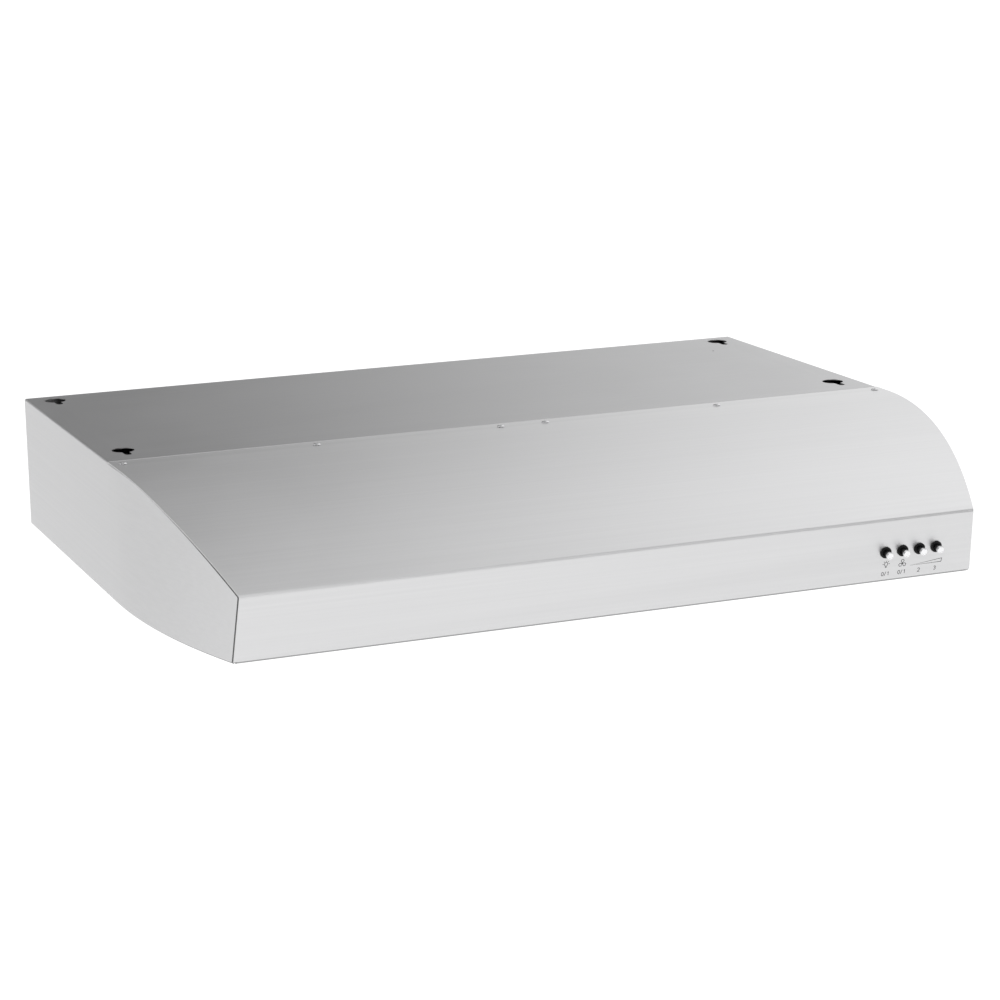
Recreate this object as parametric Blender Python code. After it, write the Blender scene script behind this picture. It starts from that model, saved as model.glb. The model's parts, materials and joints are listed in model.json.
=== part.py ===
"""Under cabinet range hood, 30 inch class, as separate sheet metal and mechanical pieces.

Metres, +X to the right seen from the front, +Y to the wall, +Z up. The origin lies on the
upper face of the top plate, in the middle of its four keyholes.
"""
import math

import bmesh
import bpy
from mathutils import Matrix, Vector

# Driving dimensions of the canopy
WIDTH = 0.760
DEPTH = 0.553
HEIGHT = 0.124
SHEET = 0.0010
GAP = 0.0003
BEND = 0.0020
BACK_Y = 0.145
FASCIA_TOP_Y = BACK_Y - DEPTH
FASCIA_TOP_Z = -0.0655
FASCIA_SETBACK = 0.0110
FASCIA_BEND = 0.0035
BREAK_Y = FASCIA_TOP_Y + 0.243
ROOF_FLAT_END_Y = FASCIA_TOP_Y + 0.219
SIDE_BEND_Y = FASCIA_TOP_Y + 0.234
SIDE_RADIUS = 0.696
JOGGLE = 0.0008
LAP = 0.025
FLANGE = 0.012
SEAM_BEND = 0.0012
SEAM_DEPTH = SHEET + GAP
CORNER_NOTCH = 0.008
RETURN_INSET = BEND + JOGGLE + GAP
ROOF_STEPS = 14

# Fixing keyholes and rivets
KEYHOLE_X = 0.355
KEYHOLE_Y = 0.124
KEYHOLE_RADIUS = 0.010
KEYHOLE_SLOT_RADIUS = 0.00325
KEYHOLE_REACH = 0.0175
RIVET_Y = BREAK_Y - 0.014
RIVET_X = (-0.370, -0.194, -0.018, 0.026, 0.201, 0.370)
RIVET_HEAD_RADIUS = 0.0034
RIVET_SHANK_RADIUS = 0.0016

# Push buttons, along the fascia
BUTTON_COUNT = 4
BUTTON_FIRST_X = 0.2542
BUTTON_PITCH = 0.0170
BUTTON_DROP = 0.0313
COLLAR_RADIUS = 0.00525
STEM_RADIUS = 0.0028
CAP_RADIUS = 0.0032
CAP_FRONT = 0.0088

# Rear outlet, a nominal 3 1/4 by 10 inch rectangular duct
DUCT_HALF_WIDTH = 0.127
DUCT_TOP_Z = -0.0070
DUCT_BOTTOM_Z = -0.0890
DUCT_REACH = 0.025
FLAP_AXIS_Y = 0.1530
FLAP_AXIS_Z = -0.0120
CABLE_X = 0.260
CABLE_Z = -0.040

# Underside pan and its grease filters
PAN_TOP_Z = -0.1085
PAN_FRONT_Y = FASCIA_TOP_Y + 0.015
PAN_INSET = SHEET + 0.0005
OPENING_X = (0.014, 0.340)
OPENING_Y = (-0.215, 0.095)
LIP_BOTTOM_Z = -0.1165
FILTER_X = (OPENING_X[0] + 0.0015, OPENING_X[1] - 0.0015)
FILTER_Y = (OPENING_Y[0] + 0.0015, OPENING_Y[1] - 0.0022)
FILTER_Z = (-0.1175, PAN_TOP_Z)
FILTER_RIM = 0.014
FILTER_PAD = 0.0020
FILTER_PIN_Y = OPENING_Y[1] - 0.0072
FILTER_PIN_Z = (FILTER_Z[0] + FILTER_Z[1]) / 2
FILTER_PIN_RADIUS = 0.0020
LAMP_X = 0.230
LAMP_Y = -0.300
LAMP_RADIUS = 0.034
LAMP_HEIGHT = 0.0205

# Blower
BLOWER_X = -0.050
BLOWER_Y = 0.0
WHEEL_RADIUS = 0.074
BLADE_COUNT = 28
SCROLL_TOP_Z = -0.0015
SCROLL_BOTTOM_Z = -0.0865
SCROLL_START = 0.080
SCROLL_END = 0.122
TONGUE_ANGLE = math.radians(70)
TONGUE_RADIUS = 0.004
INLET_RADIUS = 0.0585
MOTOR_RADIUS = 0.042
SHAFT_RADIUS = 0.004
BRACKET_THICKNESS = 0.0020

ROOF_RADIUS = ((ROOF_FLAT_END_Y - FASCIA_TOP_Y) ** 2 + FASCIA_TOP_Z ** 2) / (-2 * FASCIA_TOP_Z)
FASCIA_DROP = HEIGHT + FASCIA_TOP_Z
FASCIA_LENGTH = math.hypot(FASCIA_SETBACK, FASCIA_DROP)
FASCIA_NORMAL = Vector((0, -FASCIA_DROP, -FASCIA_SETBACK)) / FASCIA_LENGTH
FASCIA_DOWN = Vector((0, FASCIA_SETBACK, -FASCIA_DROP)) / FASCIA_LENGTH

# name: base colour, roughness, metallic, alpha
FINISHES = {
    "stainless": ((0.62, 0.62, 0.63), 0.35, 1.0, 1.0),
    "galvanised": ((0.50, 0.52, 0.54), 0.45, 1.0, 1.0),
    "aluminium": ((0.75, 0.76, 0.77), 0.40, 1.0, 1.0),
    "chrome": ((0.85, 0.85, 0.86), 0.12, 1.0, 1.0),
    "steel_rod": ((0.55, 0.55, 0.56), 0.25, 1.0, 1.0),
    "black_plastic": ((0.015, 0.015, 0.016), 0.35, 0.0, 1.0),
    "grey_plastic": ((0.30, 0.31, 0.32), 0.50, 0.0, 1.0),
    "motor_paint": ((0.06, 0.06, 0.065), 0.45, 0.0, 1.0),
    "lamp_glass": ((0.90, 0.92, 0.94), 0.15, 0.0, 0.4),
    "cable_jacket": ((0.03, 0.03, 0.03), 0.55, 0.0, 1.0),
}


def clear_scene():
    for old in list(bpy.data.objects):
        bpy.data.objects.remove(old, do_unlink=True)


def make_material(piece_name, finish):
    color, roughness, metallic, alpha = FINISHES[finish]
    material = bpy.data.materials.new(f"{piece_name}_{finish}")
    material.use_nodes = True
    shader = material.node_tree.nodes["Principled BSDF"]
    shader.inputs["Base Color"].default_value = (*color, 1.0)
    shader.inputs["Roughness"].default_value = roughness
    shader.inputs["Metallic"].default_value = metallic
    shader.inputs["Alpha"].default_value = alpha
    material.diffuse_color = (*color, alpha)
    return material


def object_from(bm, name, finish="stainless"):
    bmesh.ops.recalc_face_normals(bm, faces=bm.faces)
    mesh = bpy.data.meshes.new(name)
    bm.to_mesh(mesh)
    bm.free()
    piece = bpy.data.objects.new(name, mesh)
    bpy.context.collection.objects.link(piece)
    mesh.materials.append(make_material(name, finish))
    return piece


def bake(piece):
    """Replaces the piece's mesh by what its modifiers make of it."""
    depsgraph = bpy.context.evaluated_depsgraph_get()
    mesh = bpy.data.meshes.new_from_object(piece.evaluated_get(depsgraph))
    piece.modifiers.clear()
    piece.data = mesh
    mesh.name = piece.name


def combine(piece, tool, operation):
    modifier = piece.modifiers.new(operation, "BOOLEAN")
    modifier.operation = operation
    modifier.solver = "EXACT"
    modifier.object = tool
    bake(piece)
    bpy.data.objects.remove(tool, do_unlink=True)


def cut(piece, *tools):
    for tool in tools:
        combine(piece, tool, "DIFFERENCE")


def fuse(piece, *tools):
    for tool in tools:
        combine(piece, tool, "UNION")


def smooth(piece, angle=35):
    piece.data.shade_smooth()
    piece.data.set_sharp_from_angle(angle=math.radians(angle))


def set_origin(piece, point):
    """Moves the piece's origin to a point and leaves the piece where it is."""
    piece.data.transform(Matrix.Translation(-Vector(point)))
    piece.location = point


def prism(outline, axis, low, high, name="tool", finish="stainless"):
    """Extrudes an outline along an axis: (y, z) points along X, (x, z) along Y, (x, y) along Z."""
    place = {
        "X": lambda a, b, along: (along, a, b),
        "Y": lambda a, b, along: (a, along, b),
        "Z": lambda a, b, along: (a, b, along),
    }[axis]
    bm = bmesh.new()
    ends = [[bm.verts.new(place(a, b, along)) for a, b in outline] for along in (low, high)]
    for ring in ends:
        bm.faces.new(ring)
    count = len(outline)
    for i in range(count):
        j = (i + 1) % count
        bm.faces.new((ends[0][i], ends[0][j], ends[1][j], ends[1][i]))
    return object_from(bm, name, finish)


def rectangle(x_range, y_range):
    (x0, x1), (y0, y1) = sorted(x_range), sorted(y_range)
    return [(x0, y0), (x1, y0), (x1, y1), (x0, y1)]


def box(x_range, y_range, z_range, name="tool", finish="stainless"):
    return prism(rectangle(x_range, y_range), "Z", min(z_range), max(z_range), name, finish)


def circle(centre, radius, segments, start=0.0):
    turn = 2 * math.pi / segments
    return [
        (centre[0] + radius * math.cos(start + turn * i), centre[1] + radius * math.sin(start + turn * i))
        for i in range(segments)
    ]


def rod(centre, radius, axis, low, high, name="tool", finish="stainless", segments=16):
    return prism(circle(centre, radius, segments), axis, low, high, name, finish)


def turned(profile, segments, name="tool", finish="stainless"):
    """Turns a closed (radius, height) outline about Z; radius 0 lies on the axis."""
    bm = bmesh.new()
    rings = []
    for radius, height in profile:
        if radius == 0:
            rings.append([bm.verts.new((0, 0, height))] * segments)
        else:
            rings.append([bm.verts.new((x, y, height)) for x, y in circle((0, 0), radius, segments)])
    for ring, other in zip(rings, rings[1:] + rings[:1]):
        for i in range(segments):
            j = (i + 1) % segments
            corners = []
            for vert in (ring[i], ring[j], other[j], other[i]):
                if vert not in corners:
                    corners.append(vert)
            if len(corners) > 2:
                bm.faces.new(corners)
    return object_from(bm, name, finish)


def move(piece, matrix):
    piece.data.transform(matrix)
    return piece


def shift(piece, x=0.0, y=0.0, z=0.0):
    return move(piece, Matrix.Translation((x, y, z)))


# Outline of the canopy

def half_width(y):
    """Half of the outer width at a distance y: straight sides that curve in towards the front."""
    ahead = max(0.0, SIDE_BEND_Y - y)
    return WIDTH / 2 - SIDE_RADIUS + math.sqrt(SIDE_RADIUS ** 2 - ahead ** 2)


def roof_z(y, depth=0.0):
    """Height of the roof line at y, moved inward by depth."""
    ahead = max(0.0, ROOF_FLAT_END_Y - y)
    return -ROOF_RADIUS + math.sqrt((ROOF_RADIUS - depth) ** 2 - ahead ** 2)


def roof_normal(y):
    lean = math.asin(max(0.0, ROOF_FLAT_END_Y - y) / ROOF_RADIUS)
    return Vector((0, -math.sin(lean), math.cos(lean)))


def fascia_point(down, depth=0.0):
    """Point of the fascia's outer face at a distance down from its top line, moved inward by depth."""
    return Vector((0, FASCIA_TOP_Y, FASCIA_TOP_Z)) + FASCIA_DOWN * down - FASCIA_NORMAL * depth


def fascia_bend(steps):
    """Centre of the round bend at the fascia's top, and directions from it that turn from roof to fascia."""
    roof = roof_normal(FASCIA_TOP_Y)
    corner = Vector((0, FASCIA_TOP_Y, FASCIA_TOP_Z))
    centre = corner - (roof + FASCIA_NORMAL) / (1 + roof.dot(FASCIA_NORMAL)) * FASCIA_BEND
    axis = roof.cross(FASCIA_NORMAL).normalized()
    turn = roof.angle(FASCIA_NORMAL)
    return centre, [Matrix.Rotation(turn * i / steps, 3, axis) @ roof for i in range(steps + 1)]


def spread(start, end, steps):
    return [start + (end - start) * i / steps for i in range(steps + 1)]


# Sheet metal pieces

class Sheet:
    """An open surface of shared points, thickened afterwards on its inner side."""

    def __init__(self):
        self.bm = bmesh.new()
        self.points = {}

    def vert(self, point):
        key = tuple(round(value, 7) for value in point)
        if key not in self.points:
            self.points[key] = self.bm.verts.new(point)
        return self.points[key]

    def face(self, points):
        corners = []
        for point in points:
            vert = self.vert(point)
            if vert not in corners:
                corners.append(vert)
        if len(corners) > 2:
            self.bm.faces.new(corners)

    def strips(self, rows):
        for row, other in zip(rows, rows[1:]):
            for i in range(len(row) - 1):
                self.face((row[i], row[i + 1], other[i + 1], other[i]))

    def thicken(self, name, outward, finish="stainless"):
        """Adds one sheet thickness behind the surface; outward points out of its first face."""
        bmesh.ops.recalc_face_normals(self.bm, faces=self.bm.faces)
        self.bm.faces.ensure_lookup_table()
        if self.bm.faces[0].normal.dot(Vector(outward)) < 0:
            bmesh.ops.reverse_faces(self.bm, faces=self.bm.faces)
        mesh = bpy.data.meshes.new(name)
        self.bm.to_mesh(mesh)
        self.bm.free()
        piece = bpy.data.objects.new(name, mesh)
        bpy.context.collection.objects.link(piece)
        mesh.materials.append(make_material(name, finish))
        solid = piece.modifiers.new("thickness", "SOLIDIFY")
        solid.thickness = SHEET
        solid.offset = -1
        solid.use_even_offset = True
        bake(piece)
        return piece


def edge_steps(depth, radius):
    """(depth, inset) of an edge bend's three points, from the wall inward, where its flat lies at a depth."""
    mid = radius * (1 - math.sqrt(0.5))
    return (depth + radius, 0.0), (depth + mid, mid), (depth, radius)


FLUSH_EDGE = edge_steps(0.0, BEND)
SEAM_EDGE = edge_steps(SEAM_DEPTH, SEAM_BEND)


def roof_edge(at_y, steps):
    """A side's edge bend under the roof line at y."""
    return [Vector((half_width(at_y) - inset, at_y, roof_z(at_y, depth))) for depth, inset in steps]


def side_rows(sign, at_y, steps):
    """Points of one side at y, from its bottom flange up, round the bottom bend and round the roof bend."""
    wide = half_width(at_y)
    rows = [Vector((wide - FLANGE, at_y, -HEIGHT))]
    rows += [Vector((wide - inset, at_y, depth - HEIGHT)) for depth, inset in reversed(FLUSH_EDGE)]
    return [mirrored(point, sign) for point in rows + roof_edge(at_y, steps)]


def mirrored(point, sign):
    return Vector((sign * point.x, point.y, point.z))


def make_top_shell():
    sheet = Sheet()
    wall_end = fascia_point(FASCIA_LENGTH - BEND, SEAM_DEPTH + SEAM_BEND)
    stations = [BACK_Y, BREAK_Y, BREAK_Y - JOGGLE, SIDE_BEND_Y, ROOF_FLAT_END_Y]
    stations += spread(BREAK_Y - LAP, wall_end.y, ROOF_STEPS)
    sides = []
    for sign in (-1, 1):
        wall = [side_rows(sign, y, FLUSH_EDGE if y >= BREAK_Y else SEAM_EDGE) for y in stations]
        sheet.strips(wall[:-1])
        sheet.strips([row[1:] for row in wall[-2:]])
        flange = [(row[-1], Vector((sign * (half_width(y) - FLANGE), y, row[-1].z)))
                  for row, y in zip(wall[5:], stations[5:])]
        sheet.strips(flange)
        make_front_edge(sheet, sign, wall[-1])
        sides.append((wall, flange))
    (left, left_flange), (right, right_flange) = sides
    plate = [(one[-1], other[-1]) for one, other in zip(left, right)]
    sheet.strips(plate[:5])
    sheet.face((plate[4][0], plate[5][0], left_flange[0][1], right_flange[0][1], plate[5][1], plate[4][1]))
    shell = sheet.thicken("top_shell", (-0.1, 0, -1))
    for x in (-KEYHOLE_X, KEYHOLE_X):
        for y in (-KEYHOLE_Y, KEYHOLE_Y):
            cut(shell, keyhole(x, y))
    for x in RIVET_X:
        cut(shell, rivet_hole(x))
    return shell


def rivet_hole(x):
    return rod((x, RIVET_Y), RIVET_SHANK_RADIUS + 0.0004, "Z", -0.01, 0.01, segments=10)


def make_front_edge(sheet, sign, last_row):
    """Closes one side forward of its last station and turns its edge in behind the fascia."""
    centre, ways = fascia_bend(2)
    rows = [[(centre + way * (FASCIA_BEND - depth), inset) for depth, inset in SEAM_EDGE] for way in ways]
    bends = len(rows)
    rows += [[(fascia_point(down, depth), inset) for depth, inset in SEAM_EDGE]
             for down in (CORNER_NOTCH, FASCIA_LENGTH - CORNER_NOTCH, FASCIA_LENGTH - BEND)]
    edge = [[Vector((sign * (half_width(point.y) - inset), point.y, point.z)) for point, inset in row]
            for row in rows]
    wall_bottom, wall_top = last_row[3], last_row[4]
    edge[-1][0] = wall_bottom
    sheet.face([wall_top] + [row[0] for row in edge])
    sheet.strips([last_row[4:]] + edge)
    flange = []
    for row in edge[bends:bends + 2]:
        near = row[-1]
        flange.append((near, Vector((sign * (half_width(near.y) - FLANGE), near.y, near.z))))
    sheet.strips(flange)


def keyhole(x, y):
    """Cutter of one fixing keyhole: a round hole with a slot that runs towards the front."""
    steps = 20
    opening = math.asin(KEYHOLE_SLOT_RADIUS / KEYHOLE_RADIUS)
    outline = []
    for i in range(steps + 1):
        angle = -math.pi / 2 + opening + (2 * math.pi - 2 * opening) * i / steps
        outline.append((x + KEYHOLE_RADIUS * math.cos(angle), y + KEYHOLE_RADIUS * math.sin(angle)))
    for i in range(7):
        angle = math.pi + math.pi * i / 6
        outline.append((x + KEYHOLE_SLOT_RADIUS * math.cos(angle),
                        y - KEYHOLE_REACH + KEYHOLE_SLOT_RADIUS * math.sin(angle)))
    return prism(outline, "Z", -0.01, 0.01)


def fillet(before, corner, after, radius, steps):
    """Points of a round bend between two straight runs that meet at a corner."""
    into = (corner - before).normalized()
    out = (after - corner).normalized()
    turn = into.angle(out)
    run = radius * math.tan(turn / 2)
    centre = corner + (out - into).normalized() * radius / math.cos(turn / 2)
    start = corner - into * run - centre
    axis = into.cross(out).normalized()
    return [centre + Matrix.Rotation(turn * i / steps, 3, axis) @ start for i in range(steps + 1)]


def make_front_panel():
    """Roof and fascia in one sheet as wide as the canopy, with a narrower return along its bottom."""
    centre, ways = fascia_bend(4)
    top_bend = [centre + way * FASCIA_BEND for way in ways]
    bottom = fascia_point(FASCIA_LENGTH)
    return_end = bottom + Vector((0, FLANGE + 0.002, 0))
    low_bend = fillet(top_bend[-1], bottom, return_end, BEND, 3)
    path = [Vector((0, BREAK_Y - JOGGLE - GAP, 0.0)), Vector((0, ROOF_FLAT_END_Y, 0.0))]
    path += [Vector((0, y, roof_z(y))) for y in spread(ROOF_FLAT_END_Y, top_bend[0].y, ROOF_STEPS)[1:-1]]
    path += top_bend + [low_bend[0]]

    def row(point, inset):
        wide = half_width(point.y) - inset
        return Vector((-wide, point.y, point.z)), Vector((wide, point.y, point.z))

    sheet = Sheet()
    rows = [row(point, 0.0) for point in path]
    sheet.strips(rows[:-1])
    narrow = [row(point, RETURN_INSET) for point in low_bend + [return_end]]
    sheet.face((rows[-2][0], rows[-1][0], *narrow[0], rows[-1][1], rows[-2][1]))
    sheet.strips(narrow)
    panel = sheet.thicken("front_panel", (0, 0, 1))
    for x in RIVET_X:
        cut(panel, rivet_hole(x))
    for x in button_places():
        cut(panel, on_fascia(x, rod((0, 0), 0.0045, "Z", -0.01, 0.01, segments=14)))
    return panel


def make_rear_panel():
    inset = SHEET + GAP
    wide, notch_x = WIDTH / 2 - inset, WIDTH / 2 - FLANGE - 0.0005
    top, bottom = -SHEET - GAP, -HEIGHT
    notch_z = -HEIGHT + SHEET + GAP
    chamfer = 0.0015
    half = [(notch_x, bottom), (notch_x, notch_z), (wide - chamfer, notch_z), (wide, notch_z + chamfer),
            (wide, top - chamfer), (wide - chamfer, top)]
    outline = half + [(-x, z) for x, z in reversed(half)]
    panel = prism(outline, "Y", BACK_Y - SHEET, BACK_Y, "rear_panel", "stainless")
    fuse(panel, box((-notch_x + 0.001, notch_x - 0.001), (BACK_Y - FLANGE, BACK_Y - SHEET / 2),
                    (bottom, bottom + SHEET)))
    duct = rectangle((-DUCT_HALF_WIDTH - GAP, DUCT_HALF_WIDTH + GAP), (DUCT_BOTTOM_Z - GAP, DUCT_TOP_Z + GAP))
    cut(panel, prism(duct, "Y", BACK_Y - 0.02, BACK_Y + 0.02))
    cut(panel, rod((CABLE_X, CABLE_Z), 0.0108, "Y", BACK_Y - 0.02, BACK_Y + 0.02, segments=20))
    return panel


def pan_outline(inset):
    """Plan of the pan inside the canopy, from the left rear corner forward and round to the right."""
    rear = BACK_Y - PAN_INSET - inset
    front = PAN_FRONT_Y + inset
    right = [(half_width(y) - PAN_INSET - inset, y) for y in spread(SIDE_BEND_Y, front, 8)]
    right.insert(0, (WIDTH / 2 - PAN_INSET - inset, rear))
    return right + [(-x, y) for x, y in reversed(right)]


def make_underside_pan():
    skirt_bottom = -HEIGHT + SHEET + GAP
    pan = prism(pan_outline(0.0), "Z", skirt_bottom, PAN_TOP_Z, "underside_pan", "stainless")
    cut(pan, prism(pan_outline(SHEET), "Z", skirt_bottom - 0.01, PAN_TOP_Z - SHEET))
    for sign in (-1, 1):
        xs = [sign * x for x in OPENING_X]
        grown_x = (min(xs) - SHEET, max(xs) + SHEET)
        grown_y = (OPENING_Y[0] - SHEET, OPENING_Y[1] + SHEET)
        fuse(pan, box(grown_x, grown_y, (LIP_BOTTOM_Z, PAN_TOP_Z - SHEET / 2)))
        cut(pan, box(xs, OPENING_Y, (LIP_BOTTOM_Z - 0.01, PAN_TOP_Z + 0.01)))
        cut(pan, rod((FILTER_PIN_Y, FILTER_PIN_Z), FILTER_PIN_RADIUS + 0.0004, "X",
                     min(xs) - 0.003, max(xs) + 0.003, segments=12))
        cut(pan, rod((sign * LAMP_X, LAMP_Y), LAMP_RADIUS + 0.0005, "Z",
                     PAN_TOP_Z - 0.01, PAN_TOP_Z + 0.01, segments=32))
    return pan


def make_rivet(number, x):
    neck = RIVET_SHANK_RADIUS
    head = RIVET_HEAD_RADIUS
    profile = [(0, 0.0015), (head * 0.55, 0.0013), (head * 0.9, 0.0008), (head, GAP), (neck, GAP),
               (neck, -0.0034), (0, -0.0034)]
    rivet = turned(profile, 12, f"panel_rivet_{number}", "steel_rod")
    shift(rivet, x, RIVET_Y)
    smooth(rivet)
    return rivet


# Push buttons

def button_places():
    return [BUTTON_FIRST_X + BUTTON_PITCH * i for i in range(BUTTON_COUNT)]


def fascia_frame(x):
    """Frame on the fascia at a button's place: +Z out of the fascia, +Y up along it, +X to the right."""
    up = -FASCIA_DOWN
    out = FASCIA_NORMAL
    right = up.cross(out)
    frame = Matrix((right, up, out)).transposed().to_4x4()
    frame.translation = fascia_point(BUTTON_DROP) + Vector((x, 0, 0))
    return frame


def on_fascia(x, piece):
    return move(piece, fascia_frame(x))


def place_on_fascia(x, piece):
    """Leaves the mesh in its own frame, so that the piece's origin stays on the button's axis."""
    piece.matrix_world = fascia_frame(x)
    smooth(piece)
    return piece


def make_buttons():
    for number, x in enumerate(button_places(), start=1):
        bore = STEM_RADIUS + 0.0004
        barrel, barrel_end = 0.0042, -0.0060
        collar = turned([(bore, 0.0016), (COLLAR_RADIUS - 0.0005, 0.0016), (COLLAR_RADIUS, 0.0011),
                         (COLLAR_RADIUS, GAP), (barrel, GAP), (barrel, barrel_end), (bore, barrel_end)],
                        18, f"button_collar_{number}", "black_plastic")
        place_on_fascia(x, collar)
        stem = rod((0, 0), STEM_RADIUS, "Z", -0.0140, CAP_FRONT - 0.0028, f"button_stem_{number}",
                   "steel_rod", 14)
        place_on_fascia(x, stem)
        low = CAP_FRONT - 0.0025
        cap = turned([(0, CAP_FRONT), (CAP_RADIUS - 0.0005, CAP_FRONT), (CAP_RADIUS, CAP_FRONT - 0.0005),
                      (CAP_RADIUS, low), (0, low)], 18, f"button_cap_{number}", "chrome")
        place_on_fascia(x, cap)


def make_switch_block():
    places = button_places()
    middle = (places[0] + places[-1]) / 2
    half = (places[-1] - places[0]) / 2 + 0.010
    block = box((-half, half), (-0.009, 0.009), (-0.030, -0.0065), "switch_block", "grey_plastic")
    for x in places:
        cut(block, rod((x - middle, 0), STEM_RADIUS + 0.0005, "Z", -0.0190, 0.0, segments=12))
    move(block, fascia_frame(middle))


# Grease filters

def make_filter(side, sign):
    xs = sorted(sign * x for x in FILTER_X)
    inner_x = (xs[0] + FILTER_RIM, xs[1] - FILTER_RIM)
    inner_y = (FILTER_Y[0] + FILTER_RIM, FILTER_Y[1] - FILTER_RIM)
    hinge = (sum(xs) / 2, FILTER_PIN_Y, FILTER_PIN_Z)
    frame = box(xs, FILTER_Y, FILTER_Z, f"filter_frame_{side}", "aluminium")
    cut(frame, box(inner_x, inner_y, (FILTER_Z[0] - 0.01, FILTER_Z[1] + 0.01)))
    groove = 0.010
    half_pad = FILTER_PAD / 2
    cut(frame, box((inner_x[0] - groove, inner_x[1] + groove), (inner_y[0] - groove, inner_y[1] + groove),
                   (FILTER_PIN_Z - half_pad - GAP, FILTER_PIN_Z + half_pad + GAP)))
    for low, high in ((xs[0] - 0.0030, xs[0] + 0.0008), (xs[1] - 0.0008, xs[1] + 0.0030)):
        fuse(frame, rod((FILTER_PIN_Y, FILTER_PIN_Z), FILTER_PIN_RADIUS, "X", low, high, segments=12))
    set_origin(frame, hinge)
    tuck = groove - 0.001
    pad = box((inner_x[0] - tuck, inner_x[1] + tuck), (inner_y[0] - tuck, inner_y[1] + tuck),
              (FILTER_PIN_Z - half_pad, FILTER_PIN_Z + half_pad), f"filter_mesh_{side}", "aluminium")
    set_origin(pad, hinge)
    latch = make_latch(side, sum(xs) / 2)
    set_origin(latch, (sum(xs) / 2, FILTER_Y[0], FILTER_Z[0]))


def make_latch(side, x):
    """Flat spring latch under the filter's front rail, with a finger tab that turns down."""
    top = FILTER_Z[0] - GAP
    thick, half_length = 0.0012, 0.020
    front = FILTER_Y[0] - 0.0045
    rear = FILTER_Y[0] + 0.0085
    tab = 0.0046
    outline = [(front, top), (front, top - thick), (rear - thick, top - thick), (rear - thick, top - tab),
               (rear, top - tab), (rear, top)]
    return prism(outline, "X", x - half_length, x + half_length, f"filter_latch_{side}", "steel_rod")


# Blower

def scroll_path():
    """Air side of the scroll wall in plan, from the left of the outlet round to its right."""
    def polar(radius, angle):
        return Vector((BLOWER_X + radius * math.cos(angle), BLOWER_Y + radius * math.sin(angle)))

    outlet_y = BACK_Y - 2 * SHEET - 3 * GAP
    wide = DUCT_HALF_WIDTH - 0.003
    path = [Vector((-wide, outlet_y))]
    tongue = polar(SCROLL_START + TONGUE_RADIUS, TONGUE_ANGLE)
    for i in range(5):
        angle = TONGUE_ANGLE - math.pi * i / 4
        path.append(tongue + TONGUE_RADIUS * Vector((math.cos(angle), math.sin(angle))))
    steps = 26
    for i in range(1, steps + 1):
        share = i / steps
        angle = TONGUE_ANGLE + (2 * math.pi - TONGUE_ANGLE) * share
        path.append(polar(SCROLL_START + (SCROLL_END - SCROLL_START) * share, angle))
    path.append(Vector((BLOWER_X + SCROLL_END, 0.055)))
    path.append(Vector((wide, outlet_y)))
    return path


def offset_path(path, distance):
    """Moves an open path sideways, to the right of its direction."""
    moved = []
    for i, point in enumerate(path):
        normals = []
        for a, b in ((i - 1, i), (i, i + 1)):
            if a >= 0 and b < len(path):
                along = (path[b] - path[a]).normalized()
                normals.append(Vector((along.y, -along.x)))
        normal = sum(normals, Vector((0, 0))).normalized()
        moved.append(point + normal * distance / max(0.5, normal.dot(normals[0])))
    return moved


def hull(points):
    """Convex outline round a set of plan points, anticlockwise."""
    points = sorted({(round(p[0], 6), round(p[1], 6)) for p in points})

    def chain(ordered):
        line = []
        for p in ordered:
            while len(line) > 1:
                (ax, ay), (bx, by) = line[-2], line[-1]
                if (bx - ax) * (p[1] - ay) - (by - ay) * (p[0] - ax) > 1e-9:
                    break
                line.pop()
            line.append(p)
        return line[:-1]

    return chain(points) + chain(points[::-1])


def make_scroll():
    path = scroll_path()
    outer = offset_path(path, SHEET)
    outline = [tuple(p) for p in path] + [tuple(p) for p in reversed(outer)]
    band = prism(outline, "Z", SCROLL_BOTTOM_Z + SHEET + GAP, SCROLL_TOP_Z - SHEET - GAP,
                 "scroll_band", "galvanised")
    smooth(band)
    cover_outline = hull([tuple(p) for p in outer])
    prism(cover_outline, "Z", SCROLL_TOP_Z - SHEET, SCROLL_TOP_Z, "scroll_top", "galvanised")
    plate = prism(cover_outline, "Z", SCROLL_BOTTOM_Z, SCROLL_BOTTOM_Z + SHEET, "scroll_inlet_plate",
                  "galvanised")
    rim = SHEET
    fuse(plate, rod((BLOWER_X, BLOWER_Y), INLET_RADIUS + rim, "Z", SCROLL_BOTTOM_Z + SHEET / 2,
                    SCROLL_BOTTOM_Z + 0.0060, segments=36))
    cut(plate, rod((BLOWER_X, BLOWER_Y), INLET_RADIUS, "Z", SCROLL_BOTTOM_Z - 0.01,
                   SCROLL_BOTTOM_Z + 0.02, segments=36))
    smooth(plate)


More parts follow.
